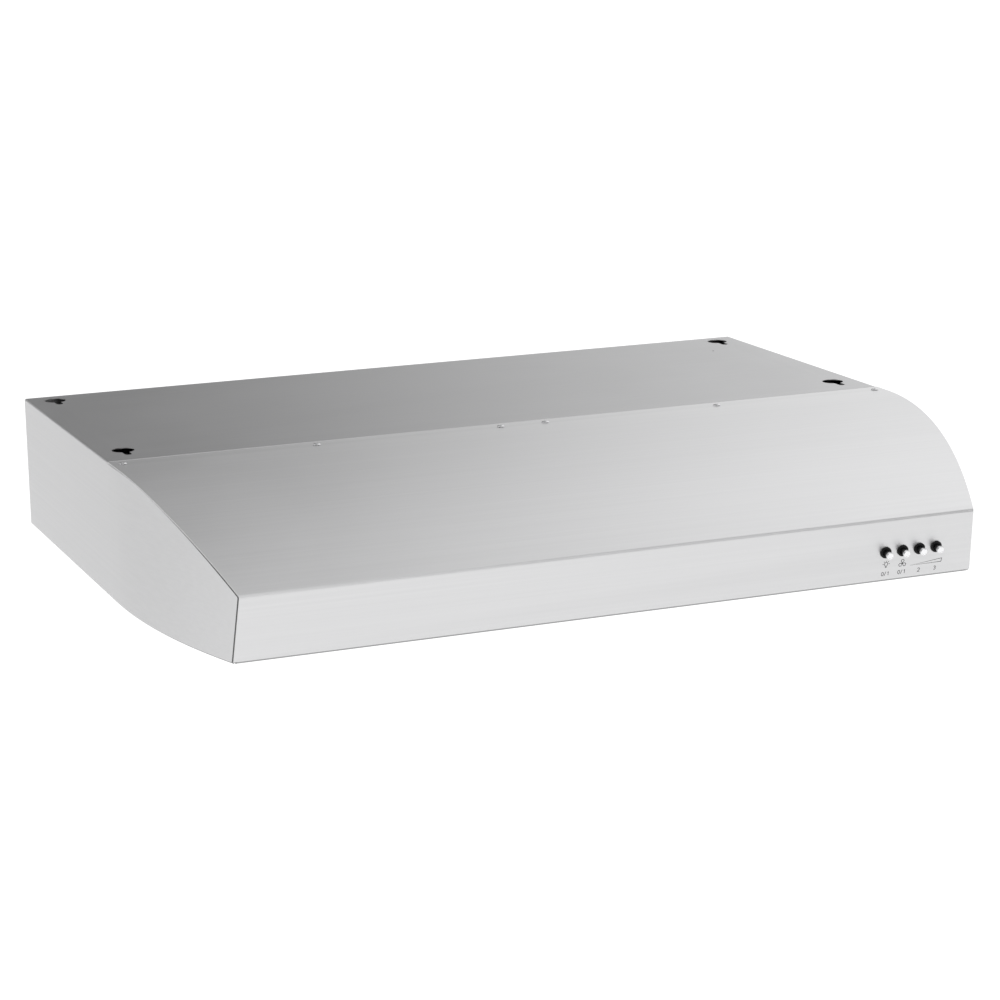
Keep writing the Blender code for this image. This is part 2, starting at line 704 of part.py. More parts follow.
def make_wheel():
    top, bottom = -0.0160, -0.0785
    plate, ring = 0.0015, 0.0020
    inner, segments = 0.0622, 40
    bore = SHAFT_RADIUS + 0.0003
    hub, hub_bottom = 0.010, top - 0.012
    wheel = turned([(bore, top), (WHEEL_RADIUS, top), (WHEEL_RADIUS, top - plate), (hub, top - plate),
                    (hub, hub_bottom), (bore, hub_bottom)], segments, "blower_wheel", "galvanised")
    blades = bmesh.new()
    length, thick, pitch = 0.0115, 0.0009, math.radians(28)
    blade_middle = inner + 0.0058
    for i in range(BLADE_COUNT):
        around = Matrix.Rotation(2 * math.pi * i / BLADE_COUNT, 4, "Z")
        place = around @ Matrix.Translation((blade_middle, 0, 0)) @ Matrix.Rotation(pitch, 4, "Z")
        height = (top - plate / 2) - (bottom + ring / 2)
        size = Matrix.Diagonal((length, thick, height, 1))
        middle = Matrix.Translation((0, 0, bottom + ring / 2 + height / 2))
        bmesh.ops.create_cube(blades, size=1.0, matrix=middle @ place @ size)
    fuse(wheel, object_from(blades, "tool"))
    outer = WHEEL_RADIUS + 0.0004
    fuse(wheel, turned([(inner, bottom), (outer, bottom), (outer, bottom + ring), (inner, bottom + ring)],
                       segments))
    wheel.location = (BLOWER_X, BLOWER_Y, 0)
    shaft_bottom, shaft_top = -0.0560, -0.0120
    shaft = rod((0, 0), SHAFT_RADIUS, "Z", shaft_bottom, shaft_top, "motor_shaft", "steel_rod", 14)
    shaft.location = (BLOWER_X, BLOWER_Y, 0)


def make_motor():
    low, high = SCROLL_BOTTOM_Z, -0.0440
    bore, bore_end = SHAFT_RADIUS + 0.0004, -0.0600
    taper = 0.006
    small = MOTOR_RADIUS - 0.007
    nose, nose_end = 0.013, high + 0.005
    motor = turned([(0, low), (small, low), (MOTOR_RADIUS, low + taper), (MOTOR_RADIUS, high - taper),
                    (small, high), (nose, high), (nose, nose_end), (bore, nose_end),
                    (bore, bore_end), (0, bore_end)], 28, "motor", "motor_paint")
    shift(motor, BLOWER_X, BLOWER_Y)
    smooth(motor)
    top = SCROLL_BOTTOM_Z - GAP
    bottom = top - BRACKET_THICKNESS
    hub, reach, half_arm = 0.028, 0.078, 0.006
    bracket = rod((0, 0), hub, "Z", bottom, top, "motor_bracket", "galvanised", 24)
    for degrees in (90, 210, 330):
        arm = box((hub / 2, reach), (-half_arm, half_arm), (bottom, top))
        fuse(bracket, move(arm, Matrix.Rotation(math.radians(degrees), 4, "Z")))
    shift(bracket, BLOWER_X, BLOWER_Y)


def make_capacitor():
    top = -SHEET - GAP
    case_bottom, tab_bottom, half_tab = top - 0.030, top - 0.038, 0.003
    capacitor = box((-0.262, -0.214), (0.030, 0.058), (case_bottom, top), "capacitor", "black_plastic")
    for x in (-0.246, -0.230):
        tab_z = (tab_bottom, case_bottom + 0.002)
        fuse(capacitor, box((x - half_tab, x + half_tab), (0.0435, 0.0445), tab_z))


# Rear outlet

def make_duct():
    outer = rectangle((-DUCT_HALF_WIDTH, DUCT_HALF_WIDTH), (DUCT_BOTTOM_Z, DUCT_TOP_Z))
    inner = rectangle((-DUCT_HALF_WIDTH + SHEET, DUCT_HALF_WIDTH - SHEET),
                      (DUCT_BOTTOM_Z + SHEET, DUCT_TOP_Z - SHEET))
    flange_front = BACK_Y - 2 * SHEET - GAP
    flange, top_flange = 0.008, 0.0045
    rim = rectangle((-DUCT_HALF_WIDTH - flange, DUCT_HALF_WIDTH + flange),
                    (DUCT_BOTTOM_Z - flange, DUCT_TOP_Z + top_flange))
    collar = prism(outer, "Y", flange_front + SHEET / 2, BACK_Y + DUCT_REACH, "duct_collar", "galvanised")
    fuse(collar, prism(rim, "Y", flange_front, flange_front + SHEET))
    cut(collar, prism(inner, "Y", flange_front - 0.01, BACK_Y + DUCT_REACH + 0.01))
    cut(collar, rod((FLAP_AXIS_Y, FLAP_AXIS_Z), 0.0019, "X", -DUCT_HALF_WIDTH - 0.01,
                    DUCT_HALF_WIDTH + 0.01, segments=12))
    wide = DUCT_HALF_WIDTH - SHEET - 0.0015
    thick = 0.0008
    flap = box((-wide, wide), (FLAP_AXIS_Y - thick / 2, FLAP_AXIS_Y + thick / 2),
               (DUCT_BOTTOM_Z + SHEET + 0.0015, FLAP_AXIS_Z), "damper_flap", "galvanised")
    fuse(flap, rod((FLAP_AXIS_Y, FLAP_AXIS_Z), 0.0015, "X", -DUCT_HALF_WIDTH - 0.001,
                   DUCT_HALF_WIDTH + 0.001, segments=12))
    set_origin(flap, (0, FLAP_AXIS_Y, FLAP_AXIS_Z))


# Wiring

def make_wiring_box():
    xs, ys = (0.200, 0.320), (0.060, BACK_Y - SHEET - GAP)
    top, bottom = -SHEET - GAP, -0.0700
    knock_out, overhang = 0.0108, 0.004
    case = box(xs, ys, (bottom, top), "wiring_box", "galvanised")
    cut(case, box((xs[0] + SHEET, xs[1] - SHEET), (ys[0] + SHEET, ys[1] - SHEET),
                  (bottom - 0.01, top - SHEET)))
    cut(case, rod((CABLE_X, CABLE_Z), knock_out, "Y", ys[1] - 0.02, ys[1] + 0.02, segments=20))
    box((xs[0] - overhang, xs[1] + overhang), (ys[0] - overhang, ys[1]), (bottom - GAP - SHEET, bottom - GAP),
        "wiring_box_cover", "galvanised")
    ceiling = top - SHEET - GAP
    middle, first, pitch = 0.093, 0.242, 0.018
    block = box((0.232, 0.288), (middle - 0.011, middle + 0.011), (ceiling - 0.018, ceiling),
                "terminal_block", "grey_plastic")
    for i in range(3):
        cut(block, rod((first + pitch * i, middle), 0.004, "Z", ceiling - 0.03, ceiling - 0.010, segments=12))
    bore, barrel, nut, nut_start, nut_end, length = 0.0072, 0.0105, 0.0140, 0.0030, 0.0070, 0.0190
    clamp = turned([(bore, 0.0), (barrel, 0.0), (barrel, nut_start), (nut, nut_start), (nut, nut_end),
                    (barrel, nut_end), (barrel, length), (bore, length)], 20, "cable_clamp", "grey_plastic")
    inner_wall = ys[1] - SHEET
    start = inner_wall - GAP - nut_end
    move(clamp, Matrix.Translation((CABLE_X, start, CABLE_Z)) @ Matrix.Rotation(-math.pi / 2, 4, "X"))
    cut(clamp, box((CABLE_X - 0.02, CABLE_X + 0.02), (BACK_Y - 0.0002, BACK_Y + 0.02),
                   (CABLE_Z - 0.02, CABLE_Z + 0.02)))


def make_lamp(side, x):
    radius = LAMP_RADIUS
    floor = PAN_TOP_Z - SHEET - GAP
    roof = PAN_TOP_Z + LAMP_HEIGHT
    bore, ceiling = radius - SHEET, roof - SHEET
    rim, rim_bottom = radius + 0.004, floor - 0.0015
    can = turned([(0, roof), (radius, roof), (radius, floor), (rim, floor), (rim, rim_bottom),
                  (bore, rim_bottom), (bore, ceiling), (0, ceiling)], 32, f"lamp_can_{side}", "stainless")
    lens_radius, lens_face, lens_top = bore - GAP, floor - 0.0010, floor + 0.0025
    lens = turned([(0, lens_face), (bore - 0.006, lens_face), (lens_radius, floor + 0.0005),
                   (lens_radius, lens_top), (0, lens_top)], 32, f"lamp_lens_{side}", "lamp_glass")
    cap = ceiling - GAP
    socket, capsule, shoulder = 0.0075, 0.0050, cap - 0.005
    bulb = turned([(0, cap), (socket, cap), (socket, shoulder), (capsule, shoulder), (capsule, cap - 0.0115),
                   (0.0030, cap - 0.0140), (0, cap - 0.0145)], 16, f"lamp_bulb_{side}", "lamp_glass")
    for piece in (can, lens, bulb):
        shift(piece, x, LAMP_Y)
        smooth(piece)


def make_lead(name, route, radius=0.0025, spacing=0.014):
    """A cable held inside the hood: a smooth curve through its route's points, straight at both ends."""
    route = [Vector(point) for point in route]
    ends = [route[0] * 2 - route[1]] + route + [route[-1] * 2 - route[-2]]
    points = []
    for i in range(1, len(ends) - 2):
        p0, p1, p2, p3 = ends[i - 1:i + 3]
        at_an_end = i in (1, len(ends) - 3)
        steps = 1 if at_an_end else max(2, round((p2 - p1).length / spacing))
        for k in range(steps):
            t = k / steps
            points.append(0.5 * ((2 * p1) + (p2 - p0) * t + (2 * p0 - 5 * p1 + 4 * p2 - p3) * t ** 2
                                 + (3 * p1 - p0 - 3 * p2 + p3) * t ** 3))
    points.append(route[-1])
    curve = bpy.data.curves.new(name, "CURVE")
    curve.dimensions = "3D"
    curve.bevel_depth = radius
    curve.bevel_resolution = 2
    curve.use_fill_caps = True
    spline = curve.splines.new("POLY")
    spline.points.add(len(points) - 1)
    for target, point in zip(spline.points, points):
        target.co = (*point, 1.0)
    curve.materials.append(make_material(name, "cable_jacket"))
    lead = bpy.data.objects.new(name, curve)
    bpy.context.collection.objects.link(lead)


def make_leads():
    places = button_places()
    middle = (places[0] + places[-1]) / 2

    def behind_switch(along, up):
        return fascia_frame(middle) @ Vector((along, up, -0.0304))

    def further(point, back):
        return point - FASCIA_NORMAL * back

    supply = behind_switch(0.004, 0.003)
    make_lead("supply_lead", [(0.262, 0.0597, -0.030), (0.262, 0.040, -0.030), (0.268, -0.030, -0.024),
                              (0.282, -0.150, -0.026), (0.290, -0.240, -0.044), further(supply, 0.030),
                              supply])
    right = behind_switch(-0.018, 0.003)
    can_top = PAN_TOP_Z + LAMP_HEIGHT + 2 * GAP
    make_lead("lamp_lead_right", [(LAMP_X, LAMP_Y, can_top), (LAMP_X, LAMP_Y, can_top + 0.014),
                                  (0.243, -0.325, -0.070), further(right, 0.018), right])
    left = behind_switch(-0.026, -0.003)
    make_lead("lamp_lead_left", [(-LAMP_X, LAMP_Y, can_top), (-LAMP_X, LAMP_Y, can_top + 0.014),
                                 (-0.215, -0.332, -0.074), (-0.160, -0.352, -0.098), (0.0, -0.355, -0.104),
                                 (0.160, -0.353, -0.102), (0.225, -0.350, -0.096), further(left, 0.012),
                                 left])
    under_motor = SCROLL_BOTTOM_Z - 2 * GAP - BRACKET_THICKNESS
    make_lead("motor_lead", [(0.1997, 0.095, -0.050), (0.182, 0.095, -0.050), (0.130, 0.060, -0.088),
                             (0.060, 0.028, -0.1025), (0.0, 0.012, -0.1055), (-0.038, 0.003, -0.1035),
                             (BLOWER_X, BLOWER_Y, under_motor - 0.0070), (BLOWER_X, BLOWER_Y, under_motor)],
              radius=0.0022)


def main():
    clear_scene()
    make_top_shell()
    make_front_panel()
    make_rear_panel()
    make_underside_pan()
    for number, x in enumerate(RIVET_X, start=1):
        make_rivet(number, x)
    make_buttons()
    make_switch_block()
    for side, sign in (("left", -1), ("right", 1)):
        make_filter(side, sign)
        make_lamp(side, sign * LAMP_X)
    make_scroll()
    make_wheel()
    make_motor()
    make_capacitor()
    make_duct()
    make_wiring_box()
    make_leads()


main()
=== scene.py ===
"""Visual model of an under cabinet range hood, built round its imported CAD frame.

Metres, +X to the right seen from the front, +Y to the wall, +Z up. The origin lies on the
upper face of the top plate, in the middle of its four keyholes.
"""
import json
import math

import bmesh
import bpy
from mathutils import Matrix, Vector

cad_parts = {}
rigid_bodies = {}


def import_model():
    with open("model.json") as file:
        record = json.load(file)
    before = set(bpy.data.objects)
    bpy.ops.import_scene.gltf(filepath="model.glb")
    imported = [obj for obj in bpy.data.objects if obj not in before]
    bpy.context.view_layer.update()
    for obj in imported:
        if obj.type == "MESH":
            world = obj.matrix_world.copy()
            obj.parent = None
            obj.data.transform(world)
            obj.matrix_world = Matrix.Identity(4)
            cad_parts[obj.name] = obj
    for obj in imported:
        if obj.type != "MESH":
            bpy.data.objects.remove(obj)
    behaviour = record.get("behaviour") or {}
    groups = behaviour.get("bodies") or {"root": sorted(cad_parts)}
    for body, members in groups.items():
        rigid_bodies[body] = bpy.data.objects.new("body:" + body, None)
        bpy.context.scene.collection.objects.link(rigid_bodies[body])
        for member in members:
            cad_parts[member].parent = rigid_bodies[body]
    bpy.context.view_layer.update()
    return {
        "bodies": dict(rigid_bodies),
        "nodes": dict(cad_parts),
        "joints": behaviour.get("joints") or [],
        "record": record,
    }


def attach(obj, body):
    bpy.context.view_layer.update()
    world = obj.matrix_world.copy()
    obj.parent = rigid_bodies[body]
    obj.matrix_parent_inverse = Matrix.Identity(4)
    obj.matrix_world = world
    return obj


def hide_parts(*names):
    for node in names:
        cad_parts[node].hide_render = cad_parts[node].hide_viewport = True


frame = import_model()

# Canopy, as in the CAD
WIDTH = 0.760
DEPTH = 0.553
HEIGHT = 0.124
SHEET = 0.0010
GAP = 0.0003
BEND = 0.0020
BACK_Y = 0.145
FASCIA_TOP_Y = BACK_Y - DEPTH
FASCIA_TOP_Z = -0.0655
FASCIA_SETBACK = 0.0110
FASCIA_BEND = 0.0035
BREAK_Y = FASCIA_TOP_Y + 0.243
ROOF_FLAT_END_Y = FASCIA_TOP_Y + 0.219
SIDE_BEND_Y = FASCIA_TOP_Y + 0.234
SIDE_RADIUS = 0.696
JOGGLE = 0.0008
LAP = 0.025
FLANGE = 0.012
SEAM_BEND = 0.0012
SEAM_DEPTH = SHEET + GAP
CORNER_NOTCH = 0.008
RETURN_INSET = BEND + JOGGLE + GAP
SKIN = 0.0007
ROOF_STEPS = 60
BEND_STEPS = 5

# Studio
FLOOR_Z = -0.55
FLOOR_GLOW = 1.02
FLOOR_SHADE = 0.26

KEYHOLE_X = 0.355
KEYHOLE_Y = 0.124
KEYHOLE_RADIUS = 0.010
KEYHOLE_SLOT_RADIUS = 0.00325
KEYHOLE_REACH = 0.0175
RIVET_Y = BREAK_Y - 0.014
RIVET_X = (-0.370, -0.194, -0.018, 0.026, 0.201, 0.370)
RIVET_HEAD_RADIUS = 0.0034
RIVET_SHANK_RADIUS = 0.0016
RIVET_HOLE_RADIUS = RIVET_SHANK_RADIUS + 0.0004
PILOT_HOLE = (0.326, 0.076)
PILOT_RADIUS = 0.0012

BUTTON_FIRST_X = 0.2542
BUTTON_PITCH = 0.0170
BUTTON_DROP = 0.0313
BUTTON_X = [BUTTON_FIRST_X + BUTTON_PITCH * i for i in range(4)]
BUTTON_HOLE_RADIUS = 0.0045
COLLAR_RADIUS = 0.00525
STEM_RADIUS = 0.0028
CAP_RADIUS = 0.0032
CAP_FRONT = 0.00878

DUCT_HALF_WIDTH = 0.127
DUCT_TOP_Z = -0.0070
DUCT_BOTTOM_Z = -0.0890
DUCT_REACH = 0.025
FLAP_AXIS_Y = 0.1530
FLAP_AXIS_Z = -0.0120
CABLE_X = 0.260
CABLE_Z = -0.040

PAN_TOP_Z = -0.1085
OPENING_X = (0.014, 0.340)
OPENING_Y = (-0.215, 0.095)
FILTER_X = (0.0155, 0.3385)
FILTER_Y = (-0.2135, 0.0928)
FILTER_Z = (-0.1175, PAN_TOP_Z)
FILTER_RIM = 0.014
FILTER_PIN_Y = 0.0878
FILTER_PIN_Z = -0.113
FILTER_PIN_RADIUS = 0.0020
PAN_FRONT_Y = FASCIA_TOP_Y + 0.015
PAN_INSET = SHEET + 0.0005
LIP_BOTTOM_Z = -0.1165
LAMP_X = 0.230
LAMP_Y = -0.300
LAMP_RADIUS = 0.034
LAMP_HEIGHT = 0.0205

BLOWER_X = -0.050
WHEEL_RADIUS = 0.074
BLADE_COUNT = 28
SCROLL_BOTTOM_Z = -0.0865
MOTOR_RADIUS = 0.042
SHAFT_RADIUS = 0.004
BRACKET_THICKNESS = 0.0020

ROOF_RADIUS = ((ROOF_FLAT_END_Y - FASCIA_TOP_Y) ** 2 + FASCIA_TOP_Z ** 2) / (-2 * FASCIA_TOP_Z)
FASCIA_DROP = HEIGHT + FASCIA_TOP_Z
FASCIA_LENGTH = math.hypot(FASCIA_SETBACK, FASCIA_DROP)
FASCIA_NORMAL = Vector((0, -FASCIA_DROP, -FASCIA_SETBACK)) / FASCIA_LENGTH
FASCIA_DOWN = Vector((0, FASCIA_SETBACK, -FASCIA_DROP)) / FASCIA_LENGTH


# ---------------------------------------------------------------- camera, floor and light

def make_camera():
    """Camera of the reference view, placed in canopy widths from the fascia's lower edge."""
    azimuth, elevation, roll = (math.radians(a) for a in (22.379, 13.341, -0.809))
    aside, above, away = 0.1406, 0.1315, 3.1039
    ahead = Vector((math.sin(azimuth) * math.cos(elevation), math.cos(azimuth) * math.cos(elevation),
                    -math.sin(elevation)))
    right = Vector((math.cos(azimuth), -math.sin(azimuth), 0))
    up = right.cross(ahead)
    side = math.cos(roll) * right + math.sin(roll) * up
    top = -math.sin(roll) * right + math.cos(roll) * up
    aim = Vector((0, FASCIA_TOP_Y, -HEIGHT))
    place = aim - (aside * side - above * top + away * ahead) * WIDTH
    camera = bpy.data.cameras.new("camera")
    camera.lens = 100.44
    camera.sensor_width = 36.0
    camera.clip_start, camera.clip_end = 0.05, 200.0
    holder = bpy.data.objects.new("camera", camera)
    bpy.context.scene.collection.objects.link(holder)
    rows = Matrix((side, top, -ahead)).transposed().to_4x4()
    rows.translation = place
    holder.matrix_world = rows
    bpy.context.scene.camera = holder


def node(tree, kind, inputs=None, **settings):
    """Adds a shader node; an input may be a value or another node's output."""
    made = tree.nodes.new("ShaderNode" + kind)
    for key, value in settings.items():
        setattr(made, key, value)
    for key, value in (inputs or {}).items():
        if isinstance(value, bpy.types.NodeSocket):
            tree.links.new(value, made.inputs[key])
        else:
            made.inputs[key].default_value = value
    return made


def math_node(tree, operation, a, b=0.0):
    return node(tree, "Math", {0: a, 1: b}, operation=operation).outputs[0]


def ranged(tree, value, low, high, to_low, to_high, curve="LINEAR"):
    """Maps a value from one range to another and holds it at the ends."""
    return node(tree, "MapRange", {"Value": value, "From Min": low, "From Max": high, "To Min": to_low,
                                   "To Max": to_high}, interpolation_type=curve).outputs[0]


def make_world():
    """White to look at. In reflections it is a soft grey room: behind the object it brightens to both
    sides and overhead, and before it, it is bright ahead and dim at the sides.
    """
    world = bpy.data.worlds.new("studio")
    bpy.context.scene.world = world
    world.use_nodes = True
    tree = world.node_tree
    tree.nodes.clear()
    toward = node(tree, "TexCoord").outputs["Generated"]
    part = node(tree, "SeparateXYZ", {0: toward})
    sideways = math_node(tree, "ABSOLUTE", part.outputs["X"])
    across = ranged(tree, sideways, 0.20, 0.52, 0.32, 1.26, "SMOOTHSTEP")
    lift = ranged(tree, part.outputs["Z"], 0.30, 1.0, 0.0, 0.14)
    behind = math_node(tree, "MULTIPLY", math_node(tree, "ADD", across, lift),
                       ranged(tree, part.outputs["Y"], 0.15, 0.75, 1.03, 0.90))
    before = ranged(tree, sideways, 0.24, 0.48, 1.17, 0.22)
    turn = ranged(tree, part.outputs["Y"], 0.10, -0.60, 0.0, 1.0, "SMOOTHSTEP")
    glow = node(tree, "Mix", {0: turn, 2: behind, 3: before}).outputs[0]
    grey = node(tree, "CombineColor", {0: glow, 1: glow, 2: glow})
    room = node(tree, "Background", {"Color": grey.outputs[0], "Strength": 1.0})
    white = node(tree, "Background", {"Color": (1, 1, 1, 1), "Strength": 1.05})
    seen = node(tree, "LightPath").outputs["Is Camera Ray"]
    mix = node(tree, "MixShader", {0: seen, 1: room.outputs[0], 2: white.outputs[0]})
    out = node(tree, "OutputWorld")
    tree.links.new(mix.outputs[0], out.inputs["Surface"])


def make_floor():
    """Pale glowing floor, clear from below. In reflections it dims towards the left rear."""
    bm = bmesh.new()
    bmesh.ops.create_grid(bm, x_segments=8, y_segments=8, size=40.0)
    mesh = bpy.data.meshes.new("floor")
    bm.to_mesh(mesh)
    bm.free()
    floor = bpy.data.objects.new("floor", mesh)
    bpy.context.scene.collection.objects.link(floor)
    floor.location = (0, 0, FLOOR_Z)
    material = bpy.data.materials.new("floor_white")
    material.use_nodes = True
    tree = material.node_tree
    tree.nodes.clear()
    place = node(tree, "SeparateXYZ", {0: node(tree, "TexCoord").outputs["Object"]})
    toward_back = ranged(tree, place.outputs["Y"], 0.20, 1.30, 0.0, FLOOR_SHADE)
    beside = ranged(tree, place.outputs["X"], -0.45, -0.75, 0.0, 1.0)
    shade = math_node(tree, "SUBTRACT", FLOOR_GLOW, math_node(tree, "MULTIPLY", toward_back, beside))
    camera_ray = node(tree, "LightPath").outputs["Is Camera Ray"]
    strength = node(tree, "Mix", {0: camera_ray, 2: shade, 3: FLOOR_GLOW}).outputs[0]
    glow = node(tree, "Emission", {"Color": (1, 1, 1, 1), "Strength": strength})
    paint = node(tree, "BsdfDiffuse", {"Color": (0.14, 0.14, 0.14, 1)})
    both = node(tree, "AddShader", {0: glow.outputs[0], 1: paint.outputs[0]})
    clear = node(tree, "BsdfTransparent")
    under = node(tree, "NewGeometry").outputs["Backfacing"]
    mix = node(tree, "MixShader", {0: under, 1: both.outputs[0], 2: clear.outputs[0]})
    out = node(tree, "OutputMaterial")
    tree.links.new(mix.outputs[0], out.inputs["Surface"])
    mesh.materials.append(material)


def make_light(name, place, aim, size, power):
    light = bpy.data.lights.new(name, "AREA")
    light.shape = "RECTANGLE"
    light.size, light.size_y = size
    light.energy = power
    holder = bpy.data.objects.new(name, light)
    bpy.context.scene.collection.objects.link(holder)
    holder.location = place
    holder.rotation_mode = "QUATERNION"
    holder.rotation_quaternion = (Vector(aim) - Vector(place)).to_track_quat("-Z", "Y")


# ---------------------------------------------------------------- materials

def new_material(name, color, roughness, metallic):
    material = bpy.data.materials.new(name)
    material.use_nodes = True
    shader = material.node_tree.nodes["Principled BSDF"]
    shader.inputs["Base Color"].default_value = (*color, 1)
    shader.inputs["Roughness"].default_value = roughness
    shader.inputs["Metallic"].default_value = metallic
    material.diffuse_color = (*color, 1)
    return material, material.node_tree, shader


def noise(tree, stretch, detail=2.0, rough=0.5):
    """Stretched noise: stretch gives the number of cells per metre along X, Y and Z."""
    place = node(tree, "TexCoord").outputs["Object"]
    scaled = node(tree, "Mapping", {"Vector": place, "Scale": stretch})
    made = node(tree, "TexNoise", {"Vector": scaled.outputs[0], "Scale": 1.0, "Detail": detail,
                                   "Roughness": rough})
    return made.outputs[0]


def tinted(tree, shader, color, amount):
    """Base colour times a value round 1, such as 0.95 to 1.05."""
    mixed = node(tree, "VectorMath", {0: (*color,), 1: (1, 1, 1)}, operation="MULTIPLY")
    tree.links.new(amount, mixed.inputs[1])
    tree.links.new(mixed.outputs[0], shader.inputs["Base Color"])


def edge_mask(tree, low, high):
    """1 on worn edges, 0 on flats."""
    bare = node(tree, "NewGeometry").outputs["Pointiness"]
    return ranged(tree, bare, low, high, 0.0, 1.0)


def brushed(name, color=(0.62, 0.62, 0.625), roughness=0.34, grain=0, anisotropy=0.55, depth=0.10,
            shadow_fade=None):
    """Stainless steel brushed along an axis: 0, 1 or 2 for X, Y or Z.

    fade = (y at full tone, y at the darkest, darkest tone) darkens the colour along Y: a painted shadow in a
    seam.
    """
    material, tree, shader = new_material(name, color, roughness, 1.0)
    along, fine, coarse = 5.0, 2400.0, 420.0
    hair = noise(tree, [along if i == grain else fine for i in range(3)], 3.0, 0.6)
    band = noise(tree, [along * 0.5 if i == grain else coarse for i in range(3)], 2.0)
    smudge = noise(tree, (9.0, 9.0, 9.0), 3.0, 0.55)
    rough = math_node(tree, "ADD", ranged(tree, hair, 0.3, 0.7, roughness - 0.035, roughness + 0.035),
                      ranged(tree, smudge, 0.3, 0.7, -0.015, 0.02))
    tree.links.new(rough, shader.inputs["Roughness"])
    shade = math_node(tree, "ADD", ranged(tree, band, 0.3, 0.7, 0.985, 1.015),
                      ranged(tree, smudge, 0.25, 0.75, -0.012, 0.012))
    shade = math_node(tree, "ADD", shade, ranged(tree, hair, 0.3, 0.7, -0.012, 0.012))
    shade = math_node(tree, "ADD", shade, ranged(tree, edge_mask(tree, 0.53, 0.60), 0, 1, 0.0, 0.05))
    # Painted shadow: the colour darkens along Y to stand in for the shade inside a seam.
    if shadow_fade:
        place = node(tree, "SeparateXYZ", {0: node(tree, "TexCoord").outputs["Object"]}).outputs["Y"]
        shade = math_node(tree, "MULTIPLY", shade, ranged(tree, place, shadow_fade[0], shadow_fade[1], 1.0, shadow_fade[2]))
    tinted(tree, shader, color, shade)
    bump = node(tree, "Bump", {"Strength": depth, "Distance": 0.00004, "Height": hair})
    tree.links.new(bump.outputs[0], shader.inputs["Normal"])
    shader.inputs["Anisotropic"].default_value = anisotropy
    shader.inputs["Anisotropic Rotation"].default_value = 0.25
    grain_way = node(tree, "CombineXYZ", {i: float(i == grain) for i in range(3)})
    tree.links.new(grain_way.outputs[0], shader.inputs["Tangent"])
    return material


def plastic(name, color, roughness, grain=1500.0, depth=0.12, wear=0.25, specular=0.5):
    """Moulded plastic: fine eggshell grain, slightly paler and shinier on its edges."""
    material, tree, shader = new_material(name, color, roughness, 0.0)
    shader.inputs["Specular IOR Level"].default_value = specular
    skin = noise(tree, (grain,) * 3, 2.0, 0.6)
    cloud = noise(tree, (40.0,) * 3, 3.0)
    edge = edge_mask(tree, 0.52, 0.60)
    rough = math_node(tree, "ADD", ranged(tree, cloud, 0.3, 0.7, roughness - 0.04, roughness + 0.05),
                      ranged(tree, edge, 0.0, 1.0, 0.0, -0.06))
    tree.links.new(rough, shader.inputs["Roughness"])
    shade = math_node(tree, "ADD", ranged(tree, cloud, 0.3, 0.7, 0.92, 1.08),
                      ranged(tree, edge, 0.0, 1.0, 0.0, wear))
    tinted(tree, shader, color, shade)
    bump = node(tree, "Bump", {"Strength": depth, "Distance": 0.0001, "Height": skin})
    tree.links.new(bump.outputs[0], shader.inputs["Normal"])
    return material


def galvanised(name, color=(0.56, 0.575, 0.59), roughness=0.42):
    """Zinc coated sheet: faint spangle in angular cells, dull patches, brighter cut edges."""
    material, tree, shader = new_material(name, color, roughness, 1.0)
    place = node(tree, "TexCoord").outputs["Object"]
    cells = node(tree, "TexVoronoi", {"Vector": place, "Scale": 150.0, "Randomness": 1.0})
    tone = node(tree, "SeparateColor", {0: cells.outputs["Color"]}).outputs[0]
    cloud = noise(tree, (14.0,) * 3, 4.0, 0.6)
    edge = edge_mask(tree, 0.52, 0.60)
    rough = math_node(tree, "ADD", ranged(tree, tone, 0, 1, roughness - 0.09, roughness + 0.09),
                      ranged(tree, cloud, 0.3, 0.7, -0.05, 0.06))
    tree.links.new(rough, shader.inputs["Roughness"])
    shade = math_node(tree, "ADD", ranged(tree, tone, 0, 1, 0.88, 1.10),
                      ranged(tree, cloud, 0.3, 0.7, -0.05, 0.05))
    shade = math_node(tree, "ADD", shade, ranged(tree, edge, 0, 1, 0.0, 0.12))
    tinted(tree, shader, color, shade)
    height = node(tree, "Bump", {"Strength": 0.15, "Distance": 0.00008, "Height": tone})
    tree.links.new(height.outputs[0], shader.inputs["Normal"])
    return material


def plated(name, color, roughness, spread=0.04, scale=900.0):
    """Plated or turned metal: fine all over scratches and a little tarnish."""
    material, tree, shader = new_material(name, color, roughness, 1.0)
    fine = noise(tree, (scale, scale, scale * 0.2), 3.0, 0.65)
    cloud = noise(tree, (60.0,) * 3, 3.0)
    rough = math_node(tree, "ADD", ranged(tree, fine, 0.3, 0.7, roughness - spread, roughness + spread),
                      ranged(tree, cloud, 0.3, 0.7, -spread / 2, spread / 2))
    tree.links.new(rough, shader.inputs["Roughness"])
    edge = edge_mask(tree, 0.52, 0.62)
    shade = math_node(tree, "ADD", ranged(tree, cloud, 0.3, 0.7, 0.95, 1.03),
                      ranged(tree, edge, 0, 1, 0, 0.06))
    tinted(tree, shader, color, shade)
    bump = node(tree, "Bump", {"Strength": 0.08, "Distance": 0.00005, "Height": fine})
    tree.links.new(bump.outputs[0], shader.inputs["Normal"])
    return material


